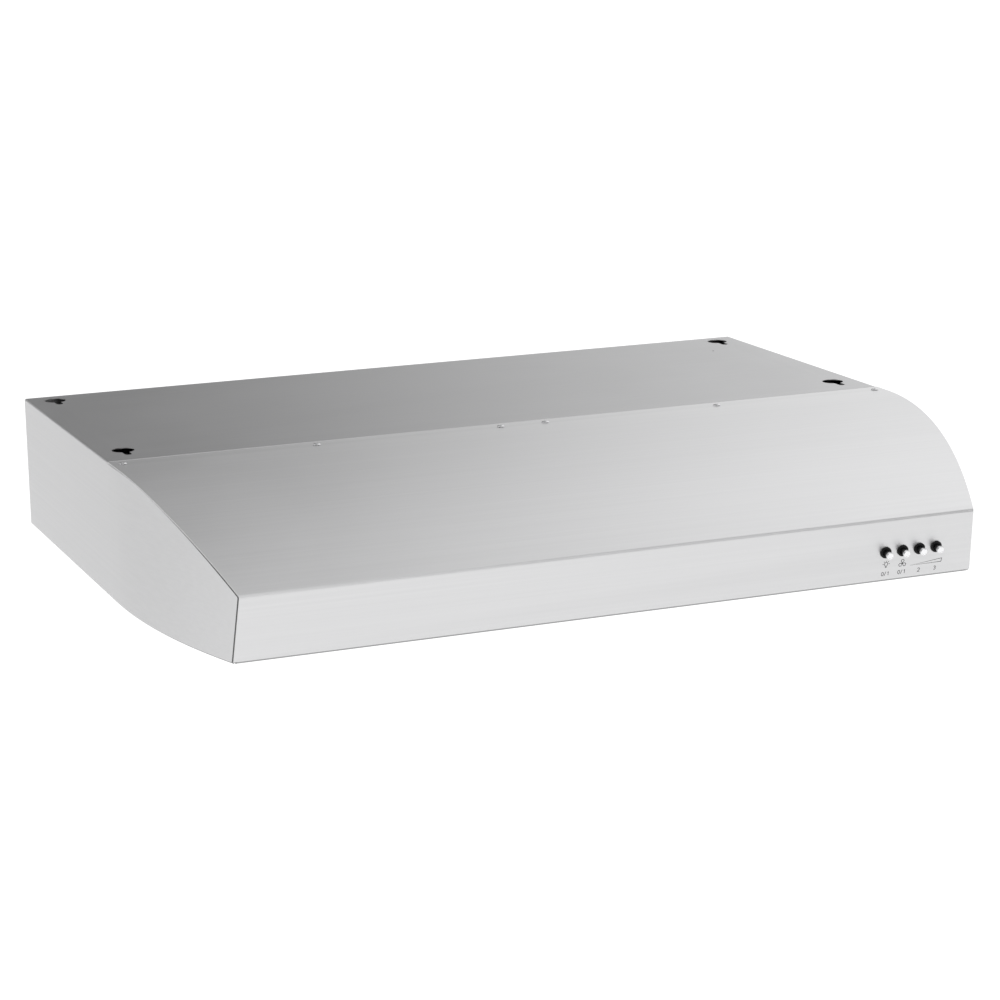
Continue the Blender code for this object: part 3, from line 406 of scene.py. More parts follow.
def glass(name, roughness, depth, cell):
    """Clear or frosted glass with a pressed pattern, cell dimples per metre."""
    material, tree, shader = new_material(name, (0.97, 0.98, 1.0), roughness, 0.0)
    shader.inputs["Transmission Weight"].default_value = 1.0
    shader.inputs["IOR"].default_value = 1.47
    place = node(tree, "TexCoord").outputs["Object"]
    cells = node(tree, "TexVoronoi", {"Vector": place, "Scale": cell}, feature="SMOOTH_F1")
    bump = node(tree, "Bump", {"Strength": depth, "Distance": 0.0006, "Height": cells.outputs["Distance"]})
    tree.links.new(bump.outputs[0], shader.inputs["Normal"])
    cloud = noise(tree, (80.0,) * 3, 2.0)
    tree.links.new(ranged(tree, cloud, 0.3, 0.7, max(0.0, roughness - 0.03), roughness + 0.04),
                   shader.inputs["Roughness"])
    return material


STEEL_ROOF = brushed("steel_front", grain=0, depth=0.05)
# Painted shade: a darker copy of the side steel for the level top plate, standing in for its darker
# reflection.
STEEL_TOP_SHADED = brushed("steel_top_painted_shade", color=(0.45, 0.45, 0.455), grain=0)
STEEL_SIDE = brushed("steel_side", color=(0.60, 0.60, 0.605), grain=1, roughness=0.36)
# Painted shadow: steel for the seam's bend that darkens towards the front, standing in for the shade in the
# gap.
STEEL_SEAM_SHADOW = brushed("steel_seam_painted_shadow", grain=1, anisotropy=0.2, shadow_fade=(-0.24, -0.38, 0.18))
# Painted shade: a dark copy of the steel for the bottom folds, standing in for the shade they reflect from
# below.
STEEL_HEM_SHADE = brushed("steel_hem_painted_shade", color=(0.30, 0.30, 0.305), grain=0, anisotropy=0.2, roughness=0.45)
STEEL_INNER = brushed("steel_inner", color=(0.55, 0.55, 0.555), roughness=0.40)
ZINC = galvanised("zinc_sheet")
ALUMINIUM = brushed("filter_aluminium", color=(0.60, 0.61, 0.62), roughness=0.33, grain=0, anisotropy=0.3)
FOIL = plated("mesh_aluminium", (0.74, 0.75, 0.765), 0.36)
WOOL = plated("filter_core", (0.30, 0.305, 0.31), 0.50, 0.10, 2600.0)
CHROME = plated("cap_chrome", (0.84, 0.84, 0.85), 0.16, 0.03)
RIVET_STEEL = plated("rivet_steel", (0.58, 0.58, 0.59), 0.20)
SCREW_ZINC = plated("screw_zinc", (0.62, 0.63, 0.62), 0.28)
BLACK = plastic("collar_black", (0.004, 0.004, 0.0045), 0.42, specular=0.18)
GLOSS_BLACK = plastic("stem_black", (0.010, 0.010, 0.011), 0.22, depth=0.03, specular=0.8)
GREY = plastic("moulding_grey", (0.28, 0.29, 0.30), 0.48)
INK = plastic("printed_ink", (0.012, 0.012, 0.014), 0.60, depth=0.05, wear=0.0, specular=0.2)
ENAMEL = plastic("motor_enamel", (0.035, 0.037, 0.042), 0.40, grain=700.0, depth=0.25)
JACKET = plastic("cable_jacket", (0.022, 0.022, 0.024), 0.50, grain=600.0)
FROST = glass("lens_glass", 0.22, 0.5, 420.0)
CLEAR = glass("bulb_glass", 0.05, 0.05, 90.0)


# ---------------------------------------------------------------- mesh helpers

def object_of(mesh, name):
    piece = bpy.data.objects.new(name, mesh)
    bpy.context.scene.collection.objects.link(piece)
    return piece


def object_from(bm, name="tool", material=None):
    bmesh.ops.recalc_face_normals(bm, faces=bm.faces)
    mesh = bpy.data.meshes.new(name)
    bm.to_mesh(mesh)
    bm.free()
    if material:
        mesh.materials.append(material)
    return object_of(mesh, name)


def bake(piece):
    """Replaces the piece's mesh by what its modifiers make of it."""
    depsgraph = bpy.context.evaluated_depsgraph_get()
    mesh = bpy.data.meshes.new_from_object(piece.evaluated_get(depsgraph))
    piece.modifiers.clear()
    old, piece.data = piece.data, mesh
    mesh.name = piece.name
    bpy.data.meshes.remove(old)


def combine(piece, tool, operation):
    modifier = piece.modifiers.new(operation, "BOOLEAN")
    modifier.operation = operation
    modifier.solver = "EXACT"
    modifier.object = tool
    bake(piece)
    bpy.data.objects.remove(tool, do_unlink=True)


def cut(piece, *tools):
    for tool in tools:
        combine(piece, tool, "DIFFERENCE")


def fuse(piece, *tools):
    for tool in tools:
        combine(piece, tool, "UNION")


def joined(name, pieces):
    """One mesh from several separate closed bodies."""
    bm = bmesh.new()
    materials = []
    for piece in pieces:
        first = len(bm.faces)
        bm.from_mesh(piece.data)
        bm.faces.ensure_lookup_table()
        for slot, material in enumerate(piece.data.materials):
            if material not in materials:
                materials.append(material)
            for face in bm.faces[first:]:
                if face.tag is False and face.material_index == slot:
                    face.material_index = materials.index(material)
                    face.tag = True
        bpy.data.objects.remove(piece, do_unlink=True)
    mesh = bpy.data.meshes.new(name)
    bm.to_mesh(mesh)
    bm.free()
    for material in materials:
        mesh.materials.append(material)
    return object_of(mesh, name)


def soften(piece, width, segments=2, angle=35):
    """Rounds the sharp edges of a closed solid."""
    bevel = piece.modifiers.new("edges", "BEVEL")
    bevel.width = width
    bevel.segments = segments
    bevel.limit_method = "ANGLE"
    bevel.angle_limit = math.radians(angle)
    bake(piece)


def smooth(piece, angle=32):
    """Smooth curves with true flats: normals weighted by face area, sharp edges kept."""
    piece.data.shade_smooth()
    piece.data.set_sharp_from_angle(angle=math.radians(angle))
    weighted = piece.modifiers.new("normals", "WEIGHTED_NORMAL")
    weighted.keep_sharp = True
    weighted.weight = 100
    bake(piece)


def finish_piece(piece, body, slot, *nodes, angle=32):
    """Smooths a piece, hangs it on its body and hides the CAD nodes that it stands for."""
    smooth(piece, angle)
    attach(piece, body)
    if nodes:
        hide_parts(*nodes)


def prism(outline, axis, low, high, name="tool", material=None):
    """Extrudes an outline along an axis: (y, z) points along X, (x, z) along Y, (x, y) along Z."""
    place = {
        "X": lambda a, b, along: (along, a, b),
        "Y": lambda a, b, along: (a, along, b),
        "Z": lambda a, b, along: (a, b, along),
    }[axis]
    bm = bmesh.new()
    ends = [[bm.verts.new(place(a, b, along)) for a, b in outline] for along in (low, high)]
    for ring in ends:
        bm.faces.new(ring)
    count = len(outline)
    for i in range(count):
        j = (i + 1) % count
        bm.faces.new((ends[0][i], ends[0][j], ends[1][j], ends[1][i]))
    return object_from(bm, name, material)


def rectangle(x_range, y_range):
    (x0, x1), (y0, y1) = sorted(x_range), sorted(y_range)
    return [(x0, y0), (x1, y0), (x1, y1), (x0, y1)]


def rounded(outline, radius, steps=4):
    """Rounds the corners of a closed outline; radius may be one value or one per corner."""
    points = [Vector(p) for p in outline]
    made = []
    for i, corner in enumerate(points):
        r = radius[i] if isinstance(radius, (list, tuple)) else radius
        before, after = points[i - 1], points[(i + 1) % len(points)]
        into, out = (corner - before).normalized(), (after - corner).normalized()
        turn = into.angle(out)
        if r <= 0 or turn < 0.02:
            made.append(tuple(corner))
            continue
        run = r * math.tan(turn / 2)
        centre = corner + (out - into).normalized() * (r / math.cos(turn / 2))
        start = corner - into * run - centre
        sign = 1 if into.cross(out) > 0 else -1
        for k in range(steps + 1):
            made.append(tuple(centre + Matrix.Rotation(sign * turn * k / steps, 2) @ start))
    return made


def box(x_range, y_range, z_range, name="tool", material=None):
    return prism(rectangle(x_range, y_range), "Z", min(z_range), max(z_range), name, material)


def circle(centre, radius, segments, start=0.0):
    turn = 2 * math.pi / segments
    return [
        (centre[0] + radius * math.cos(start + turn * i), centre[1] + radius * math.sin(start + turn * i))
        for i in range(segments)
    ]


def rod(centre, radius, axis, low, high, name="tool", material=None, segments=32):
    return prism(circle(centre, radius, segments), axis, low, high, name, material)


def turned(profile, segments, name="tool", material=None):
    """Turns a closed (radius, height) outline about Z; radius 0 lies on the axis."""
    bm = bmesh.new()
    rings = []
    for radius, height in profile:
        if radius < 1e-9:
            rings.append([bm.verts.new((0, 0, height))] * segments)
        else:
            rings.append([bm.verts.new((x, y, height)) for x, y in circle((0, 0), radius, segments)])
    for ring, other in zip(rings, rings[1:] + rings[:1]):
        for i in range(segments):
            j = (i + 1) % segments
            corners = []
            for vert in (ring[i], ring[j], other[j], other[i]):
                if vert not in corners:
                    corners.append(vert)
            if len(corners) > 2:
                bm.faces.new(corners)
    return object_from(bm, name, material)


def move(piece, matrix):
    piece.data.transform(matrix)
    return piece


def shift(piece, x=0.0, y=0.0, z=0.0):
    return move(piece, Matrix.Translation((x, y, z)))


def copy_of(piece, matrix):
    other = object_of(piece.data.copy(), piece.name)
    return move(other, matrix)


def spread(start, end, steps):
    return [start + (end - start) * i / steps for i in range(steps + 1)]


# ---------------------------------------------------------------- outline of the canopy

def half_width(y):
    ahead = max(0.0, SIDE_BEND_Y - y)
    return WIDTH / 2 - SIDE_RADIUS + math.sqrt(SIDE_RADIUS ** 2 - ahead ** 2)


def roof_z(y, depth=0.0):
    ahead = max(0.0, ROOF_FLAT_END_Y - y)
    return -ROOF_RADIUS + math.sqrt((ROOF_RADIUS - depth) ** 2 - ahead ** 2)


def roof_normal(y):
    lean = math.asin(max(0.0, ROOF_FLAT_END_Y - y) / ROOF_RADIUS)
    return Vector((0, -math.sin(lean), math.cos(lean)))


def fascia_point(down, depth=0.0):
    return Vector((0, FASCIA_TOP_Y, FASCIA_TOP_Z)) + FASCIA_DOWN * down - FASCIA_NORMAL * depth


def fascia_bend():
    """Centre of the round bend at the fascia's top, and its directions from the roof to the fascia."""
    roof = roof_normal(FASCIA_TOP_Y)
    turn = roof.angle(FASCIA_NORMAL)
    corner = Vector((0, FASCIA_TOP_Y, FASCIA_TOP_Z))
    centre = corner - (roof + FASCIA_NORMAL) / (1 + roof.dot(FASCIA_NORMAL)) * FASCIA_BEND
    axis = roof.cross(FASCIA_NORMAL).normalized()
    steps = BEND_STEPS + 3
    return centre, [Matrix.Rotation(turn * i / steps, 3, axis) @ roof for i in range(steps + 1)]


BEND_CENTRE, BEND_WAYS = fascia_bend()


def edge_steps(depth, radius):
    """(depth, inset) along an edge bend, from the wall inward, where its flat lies at a depth."""
    return [(depth + radius * (1 - math.sin(a)), radius * (1 - math.cos(a)))
            for a in spread(0.0, math.pi / 2, BEND_STEPS)]


FLUSH_EDGE = edge_steps(0.0, BEND)
SEAM_EDGE = edge_steps(SEAM_DEPTH, SEAM_BEND)
# Below this height the bottom fold takes the dark hem steel, a painted shade.
SHADED_HEM_TOP_Z = -HEIGHT + 0.7 * BEND
WALL_BOTTOM = BEND_STEPS + 1
WALL_TOP = BEND_STEPS + 2


class Sheet:
    """An open surface of shared points, thickened afterwards on its inner side."""

    def __init__(self):
        self.bm = bmesh.new()
        self.points = {}

    def vert(self, point):
        key = tuple(round(value, 7) for value in point)
        if key not in self.points:
            self.points[key] = self.bm.verts.new(point)
        return self.points[key]

    def face(self, points):
        corners = []
        for point in points:
            vert = self.vert(point)
            if vert not in corners:
                corners.append(vert)
        if len(corners) > 2:
            self.bm.faces.new(corners)

    def strips(self, rows):
        for row, other in zip(rows, rows[1:]):
            for i in range(len(row) - 1):
                self.face((row[i], row[i + 1], other[i + 1], other[i]))

    def thicken(self, name, outward, material, thickness=SHEET):
        bmesh.ops.recalc_face_normals(self.bm, faces=self.bm.faces)
        self.bm.faces.ensure_lookup_table()
        if self.bm.faces[0].normal.dot(Vector(outward)) < 0:
            bmesh.ops.reverse_faces(self.bm, faces=self.bm.faces)
        mesh = bpy.data.meshes.new(name)
        self.bm.to_mesh(mesh)
        self.bm.free()
        mesh.materials.append(material)
        piece = object_of(mesh, name)
        solid = piece.modifiers.new("thickness", "SOLIDIFY")
        solid.thickness = thickness
        solid.offset = -1
        solid.use_even_offset = True
        bake(piece)
        return piece


def mirrored(point, sign):
    return Vector((sign * point.x, point.y, point.z))


def roof_edge(at_y, steps):
    """A side's edge bend under the roof line at y."""
    return [Vector((half_width(at_y) - inset, at_y, roof_z(at_y, depth))) for depth, inset in steps]


def side_rows(sign, at_y, steps):
    """Points of one side at y, from its bottom flange up, round the bottom bend and round the roof bend."""
    wide = half_width(at_y)
    rows = [Vector((wide - FLANGE, at_y, -HEIGHT))]
    rows += [Vector((wide - inset, at_y, depth - HEIGHT)) for depth, inset in reversed(FLUSH_EDGE)]
    return [mirrored(point, sign) for point in rows + roof_edge(at_y, steps)]


def shell_front_edge(sheet, sign, last_row):
    """Closes one side forward of its last station and turns its edge in behind the fascia."""
    bend_start = BEND_CENTRE + BEND_WAYS[0] * (FASCIA_BEND - SEAM_DEPTH)
    edge = [roof_edge(y, SEAM_EDGE) for y in spread(last_row[0].y, bend_start.y, 6)[1:-1]]
    rows = [[(BEND_CENTRE + way * (FASCIA_BEND - depth), inset) for depth, inset in SEAM_EDGE]
            for way in BEND_WAYS]
    bends = len(edge) + len(rows)
    rows += [[(fascia_point(down, depth), inset) for depth, inset in SEAM_EDGE]
             for down in (CORNER_NOTCH, FASCIA_LENGTH - CORNER_NOTCH, FASCIA_LENGTH - BEND)]
    edge += [[Vector((half_width(point.y) - inset, point.y, point.z)) for point, inset in row]
             for row in rows]
    edge = [[mirrored(point, sign) for point in row] for row in edge]
    edge[-1][0] = last_row[WALL_BOTTOM]
    sheet.face([last_row[WALL_TOP]] + [row[0] for row in edge])
    sheet.strips([last_row[WALL_TOP:]] + edge)
    flange = []
    for row in edge[bends:bends + 2]:
        near = row[-1]
        flange.append((near, Vector((sign * (half_width(near.y) - FLANGE), near.y, near.z))))
    sheet.strips(flange)


def keyhole(x, y):
    """Cutter of one fixing keyhole: a round hole with a slot that runs towards the front."""
    steps = 40
    opening = math.asin(KEYHOLE_SLOT_RADIUS / KEYHOLE_RADIUS)
    outline = []
    for angle in spread(-math.pi / 2 + opening, 1.5 * math.pi - opening, steps):
        outline.append((x + KEYHOLE_RADIUS * math.cos(angle), y + KEYHOLE_RADIUS * math.sin(angle)))
    for angle in spread(math.pi, 2 * math.pi, 14):
        outline.append((x + KEYHOLE_SLOT_RADIUS * math.cos(angle),
                        y - KEYHOLE_REACH + KEYHOLE_SLOT_RADIUS * math.sin(angle)))
    return prism(outline, "Z", -0.01, 0.01)


def through(x, y, radius, segments=16):
    """Cutter of a round hole through the level top."""
    return rod((x, y), radius, "Z", -0.01, 0.01, segments=segments)


def make_shell():
    """Top plate and both sides in one folded sheet, with a stepped edge under the front skin."""
    sheet = Sheet()
    wall_end = fascia_point(FASCIA_LENGTH - BEND, SEAM_DEPTH + SEAM_BEND)
    stations = [BACK_Y, BREAK_Y, BREAK_Y - JOGGLE, SIDE_BEND_Y, ROOF_FLAT_END_Y]
    stations += spread(BREAK_Y - LAP, wall_end.y, ROOF_STEPS)
    sides = []
    for sign in (-1, 1):
        wall = [side_rows(sign, y, FLUSH_EDGE if y >= BREAK_Y else SEAM_EDGE) for y in stations]
        sheet.strips(wall[:-1])
        sheet.strips([row[1:] for row in wall[-2:]])
        flange = [(row[-1], Vector((sign * (half_width(y) - FLANGE), y, row[-1].z)))
                  for row, y in zip(wall[5:], stations[5:])]
        sheet.strips(flange)
        shell_front_edge(sheet, sign, wall[-1])
        sides.append((wall, flange))
    (left, left_flange), (right, right_flange) = sides
    plate = [(one[-1], other[-1]) for one, other in zip(left, right)]
    sheet.strips(plate[:5])
    sheet.face((plate[4][0], plate[5][0], left_flange[0][1], right_flange[0][1], plate[5][1], plate[4][1]))
    shell = sheet.thicken("canopy_shell", (-0.1, 0, -1), STEEL_SIDE, SKIN)
    for x in (-KEYHOLE_X, KEYHOLE_X):
        for y in (-KEYHOLE_Y, KEYHOLE_Y):
            cut(shell, keyhole(x, y))
    for x in RIVET_X:
        cut(shell, through(x, RIVET_Y, RIVET_HOLE_RADIUS))
    cut(shell, through(*PILOT_HOLE, PILOT_RADIUS))
    paint_shell(shell)
    finish_piece(shell, "canopy", "stainless", "top_shell")


def paint_shell(shell):
    """Paints shade into the sheet's colour: darker steel on the level top, a shadow fading along the seam's
    bend and darker steel on the bottom fold.
    """
    top, seam, hem = 1, 2, 3
    for material in (STEEL_TOP_SHADED, STEEL_SEAM_SHADOW, STEEL_HEM_SHADE):
        shell.data.materials.append(material)
    for face in shell.data.polygons:
        centre = face.center
        lean = max(0.0, SIDE_BEND_Y - centre.y) / SIDE_RADIUS
        wall_normal = Vector((math.copysign(math.sqrt(1 - lean * lean), centre.x), -lean, 0))
        off_the_wall = abs(face.normal.dot(wall_normal)) < 0.97
        # Painted shade: faces of the level top take the darker steel.
        if abs(face.normal.z) > 0.9 and centre.z > -0.01 and centre.y > BREAK_Y - LAP:
            face.material_index = top
        # Painted shade: the bottom fold takes the dark hem steel.
        elif off_the_wall and centre.z < SHADED_HEM_TOP_Z:
            face.material_index = hem
        # Painted shadow: the seam's bend near the front takes the seam steel, which darkens along Y.
        elif (off_the_wall and centre.y < BREAK_Y
                and half_width(centre.y) - abs(centre.x) < SEAM_BEND + SHEET):
            face.material_index = seam


def make_front_skin():
    """Roof and fascia in one sheet as wide as the canopy, with a narrower return along its bottom."""
    bend_start = BEND_CENTRE + BEND_WAYS[0] * FASCIA_BEND
    bottom = fascia_point(FASCIA_LENGTH)
    down = Vector((0, 0, -1))
    turn = FASCIA_NORMAL.angle(down)
    centre = bottom - (FASCIA_NORMAL + down) / (1 + FASCIA_NORMAL.dot(down)) * BEND
    axis = FASCIA_NORMAL.cross(down).normalized()
    low_bend = [centre + Matrix.Rotation(a, 3, axis) @ FASCIA_NORMAL * BEND
                for a in spread(0.0, turn, BEND_STEPS)]
    path = [Vector((0, BREAK_Y - JOGGLE - GAP, 0.0)), Vector((0, ROOF_FLAT_END_Y, 0.0))]
    path += [Vector((0, y, roof_z(y))) for y in spread(ROOF_FLAT_END_Y, bend_start.y, ROOF_STEPS)[1:-1]]
    path += [BEND_CENTRE + way * FASCIA_BEND for way in BEND_WAYS] + [low_bend[0]]

    def row(point, inset):
        wide = half_width(point.y) - inset
        return Vector((-wide, point.y, point.z)), Vector((wide, point.y, point.z))

    sheet = Sheet()
    rows = [row(point, 0.0) for point in path]
    sheet.strips(rows[:-1])
    narrow = [row(point, RETURN_INSET) for point in low_bend + [bottom + Vector((0, FLANGE + 0.002, 0))]]
    sheet.face((rows[-2][0], rows[-1][0], *narrow[0], rows[-1][1], rows[-2][1]))
    sheet.strips(narrow)
    panel = sheet.thicken("front_skin", (0, 0, 1), STEEL_ROOF, SKIN)
    for x in RIVET_X:
        cut(panel, through(x, RIVET_Y, RIVET_HOLE_RADIUS))
    for x in BUTTON_X:
        cut(panel, on_fascia(x, through(0, 0, BUTTON_HOLE_RADIUS, 32)))
    # Painted shade: the bottom fold takes the dark hem steel, standing in for the shade it reflects from
    # below.
    panel.data.materials.append(STEEL_HEM_SHADE)
    for face in panel.data.polygons:
        if face.center.z < SHADED_HEM_TOP_Z:
            face.material_index = 1
    finish_piece(panel, "canopy", "stainless", "front_panel")


# ---------------------------------------------------------------- fasteners

def dome(radius, base, rise, steps, start=0.0):
    """Half outline of a dome, from its middle out to its rim."""
    return [(radius * math.sin(a), base + rise * math.cos(a)) for a in spread(start, math.pi / 2, steps)]


def screw_heads(name, places, way, radius=0.0032, height=0.0013):
    """Low pan heads with a cross recess, one at each place, facing along way."""
    profile = dome(radius, 0.45 * height, 0.55 * height, 6) + [(radius, 0.0001), (0.0, 0.0001)]
    head = turned(profile, 24, name, SCREW_ZINC)
    reach, wide, deep = 0.58 * radius, 0.14 * radius, 0.45 * height
    for xs, ys in (((-reach, reach), (-wide, wide)), ((-wide, wide), (-reach, reach))):
        cut(head, box(xs, ys, (height - deep, height + 0.001)))
    turn = Vector((0, 0, 1)).rotation_difference(Vector(way)).to_matrix().to_4x4()
    copies = []
    for i, place in enumerate(places):
        spin = Matrix.Rotation(0.4 + 0.7 * i, 4, "Z")
        copies.append(copy_of(head, Matrix.Translation(place) @ turn @ spin))
    bpy.data.objects.remove(head, do_unlink=True)
    return joined(name, copies)


# ---------------------------------------------------------------- rivets and buttons

def make_rivets():
    """Blind rivets: a low dome with the broken mandrel sunk in its middle."""
    neck, head, foot = RIVET_SHANK_RADIUS, RIVET_HEAD_RADIUS, -0.0034
    mandrel = [(0, 0.00095), (0.0008, 0.00095), (0.0009, 0.00105), (0.0010, 0.0009), (0.0011, 0.0013)]
    profile = mandrel + dome(head, 0.0003, 0.00115, 6, 0.42)
    profile += [(head, GAP), (neck, GAP), (neck, foot), (0, foot)]
    for number, x in enumerate(RIVET_X, start=1):
        rivet = turned(profile, 32, f"blind_rivet_{number}", RIVET_STEEL)
        shift(rivet, x, RIVET_Y)
        finish_piece(rivet, "canopy", "steel_rod", f"panel_rivet_{number}", angle=40)


def fascia_frame(x, down=BUTTON_DROP):
    """Frame on the fascia: +Z out of it, +Y up along it, +X to the right."""
    up = -FASCIA_DOWN
    rows = Matrix((up.cross(FASCIA_NORMAL), up, FASCIA_NORMAL)).transposed().to_4x4()
    rows.translation = fascia_point(down) + Vector((x, 0, 0))
    return rows


def on_fascia(x, piece, down=BUTTON_DROP):
    return move(piece, fascia_frame(x, down))


def make_buttons():
    bore = STEM_RADIUS + 0.0004
    barrel, face, inner_end = 0.0042, 0.0016, -0.0060
    collar_outline = [(bore, face), (COLLAR_RADIUS, face), (COLLAR_RADIUS, GAP / 2), (barrel, GAP / 2),
                      (barrel, inner_end), (bore, inner_end)]
    collar_profile = rounded(collar_outline, [0.0003, 0.0006, 0, 0, 0, 0], 5)
    low, dish = CAP_FRONT - 0.0025, 0.00018
    cap_outline = [(0, CAP_FRONT - dish), (CAP_RADIUS - 0.0011, CAP_FRONT - dish),
                   (CAP_RADIUS - 0.0009, CAP_FRONT), (CAP_RADIUS, CAP_FRONT), (CAP_RADIUS, low), (0, low)]
    cap_profile = rounded(cap_outline, [0, 0.0002, 0.0002, 0.0005, 0.0002, 0], 4)
    stem_end = -0.0140
    stem_outline = [(0, low), (STEM_RADIUS, low), (STEM_RADIUS, stem_end), (0, stem_end)]
    stem_profile = rounded(stem_outline, [0, 0.0001, 0.0003, 0], 3)
    for number, x in enumerate(BUTTON_X, start=1):
        collar = on_fascia(x, turned(collar_profile, 48, f"button_{number}_bezel", BLACK))
        finish_piece(collar, "canopy", "black_plastic", f"button_collar_{number}")
        stem = on_fascia(x, turned(stem_profile, 40, f"button_{number}_plunger", GLOSS_BLACK))
        finish_piece(stem, f"button_{number}", "black_plastic", f"button_stem_{number}")
        cap = on_fascia(x, turned(cap_profile, 48, f"button_{number}_cap", CHROME))
        finish_piece(cap, f"button_{number}", "chrome", f"button_cap_{number}")


# ---------------------------------------------------------------- printed marks

def stroke(bm, points, width, closed=False, lift=0.00003):
    """A flat printed line of even width through 2-D points, with a hair of thickness."""
    points = [Vector(p) for p in points]
    count = len(points)
    rows = []
    for i, point in enumerate(points):
        ways = []
        if closed or i > 0:
            ways.append((point - points[i - 1]).normalized())
        if closed or i < count - 1:
            ways.append((points[(i + 1) % count] - point).normalized())
        normals = [Vector((-way.y, way.x)) for way in ways]
        normal = sum(normals, Vector((0, 0)))
        normal = normals[0] if normal.length < 1e-6 else normal.normalized()
        reach = width / 2 / max(0.4, normal.dot(normals[0]))
        rows.append([bm.verts.new((*(point + normal * s * reach), z)) for s, z in
                     ((1, 0), (-1, 0), (-1, lift), (1, lift))])
    pairs = list(zip(rows, rows[1:])) + ([(rows[-1], rows[0])] if closed else [])
    for row, other in pairs:
        for i in range(4):
            j = (i + 1) % 4
            bm.faces.new((row[i], row[j], other[j], other[i]))
    if not closed:
        bm.faces.new(rows[0])
        bm.faces.new(rows[-1])


def arc(centre, radius, start, end, steps=16, squeeze=1.0):
    return [(centre[0] + radius * squeeze * math.cos(a), centre[1] + radius * math.sin(a))
            for a in spread(math.radians(start), math.radians(end), steps)]


GLYPHS = {
    "0": ([arc((0.30, 0.5), 0.5, 0, 360, 24, 0.6)[:-1]], True),
    "1": ([[(0.10, 0.78), (0.30, 1.0), (0.30, 0.0)]], False),
    "2": ([arc((0.31, 0.70), 0.30, 165, -35, 12) + [(0.02, 0.0), (0.64, 0.0)]], False),
    "3": ([arc((0.30, 0.75), 0.25, 160, -90, 14) + arc((0.30, 0.25), 0.27, 90, -160, 14)], False),
    "/": ([[(0.0, -0.08), (0.42, 1.08)]], False),
}


def print_label(bm, text, centre, height, width):
    """Numerals drawn as even strokes, centred on a point."""
    pitch = 0.86 * height
    start = centre[0] - pitch * len(text) / 2 + 0.1 * height
    for i, letter in enumerate(text):
        lines, closed = GLYPHS[letter]
        for line in lines:
            placed = [(start + pitch * i + x * height, centre[1] + (y - 0.5) * height) for x, y in line]
            stroke(bm, placed, width, closed)


def make_marks():
    """Printed symbols and numerals under the buttons."""
    line = 0.00050
    bm = bmesh.new()

    def at(x, down):
        return Vector((x - BUTTON_X[0], BUTTON_DROP - down))

    # Lamp: bulb outline, cap lines and rays
    centre = at(0.2561, 0.0428)
    bulb = arc(centre, 0.00165, -58, 238, 22)
    stroke(bm, bulb + [(centre.x - 0.0007, centre.y - 0.0021)], line)
    stroke(bm, [(centre.x + 0.00087, centre.y - 0.0014), (centre.x + 0.0007, centre.y - 0.0021)], line)
    for drop in (0.0025, 0.0032):
        stroke(bm, [(centre.x - 0.0008, centre.y - drop), (centre.x + 0.0008, centre.y - drop)], line)
    for degrees in (0, 45, 135, 180):
        way = Vector((math.cos(math.radians(degrees)), math.sin(math.radians(degrees))))
        stroke(bm, [centre + way * 0.0024, centre + way * 0.0036], line)
    stroke(bm, [centre + Vector((0, 0.0023)), centre + Vector((0, 0.0031))], line)

    # Fan: three lobes round a hub
    hub = at(0.2727, 0.0440)
    for degrees in (90, 210, 330):
        turn = Matrix.Rotation(math.radians(degrees), 2)
        lobe = [Vector((0.0006, 0.0)), Vector((0.0013, 0.0010)), Vector((0.0024, 0.0015)),
                Vector((0.0035, 0.0011)), Vector((0.0038, 0.0)), Vector((0.0035, -0.0011)),
                Vector((0.0024, -0.0015)), Vector((0.0013, -0.0010))]
        stroke(bm, [hub + turn @ p for p in lobe], line, closed=True)
    stroke(bm, arc(hub, 0.0004, 0, 360, 10)[:-1], line, closed=True)

    # Wedge that grows with the speed
    stroke(bm, [at(0.2812, 0.0470), at(0.3127, 0.0434), at(0.3123, 0.0468)], line, closed=True)

    for text, x in zip(("0/1", "0/1", "2", "3"), (0.2565, 0.2730, 0.2902, 0.3066)):
        print_label(bm, text, at(x, 0.0522), 0.0034, line)
    marks = object_from(bm, "printed_marks", INK)
    on_fascia(BUTTON_X[0], marks)
    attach(marks, "canopy")


# ---------------------------------------------------------------- grease filters

def lattice(name, x_range, y_range, z, across, pitch, step, strand, thick):
    """One layer of expanded metal: zigzag strands that meet their neighbours at every turn."""
    (a0, a1), (b0, b1) = (x_range, y_range) if not across else (y_range, x_range)
    swing = pitch / 2 - strand / 2
    rows = int((b1 - b0 - strand) / pitch)
    columns = int((a1 - a0) / step)
    start = (a0 + a1 - columns * step) / 2
    first = (b0 + b1 - (rows - 1) * pitch) / 2
    verts, faces = [], []
    for row in range(rows):
        middle = first + row * pitch
        base = len(verts)
        for column in range(columns + 1):
            side = 1 if (row + column) % 2 else -1
            along, aside = start + column * step, middle + side * swing
            for offset, height in ((strand / 2, thick / 2), (-strand / 2, thick / 2),
                                   (-strand / 2, -thick / 2), (strand / 2, -thick / 2)):
                point = (along, min(b1, max(b0, aside + offset)))
                verts.append((*(point if not across else point[::-1]), z + height))
        for column in range(columns):
            at = base + 4 * column
            faces += [(at + i, at + (i + 1) % 4, at + 4 + (i + 1) % 4, at + 4 + i) for i in range(4)]
        end = base + 4 * columns
        faces += [(base, base + 1, base + 2, base + 3), (end, end + 1, end + 2, end + 3)]
    mesh = bpy.data.meshes.new(name)
    mesh.from_pydata(verts, [], faces)
    bm = bmesh.new()
    bm.from_mesh(mesh)
    bpy.data.meshes.remove(mesh)
    return object_from(bm, name, FOIL)


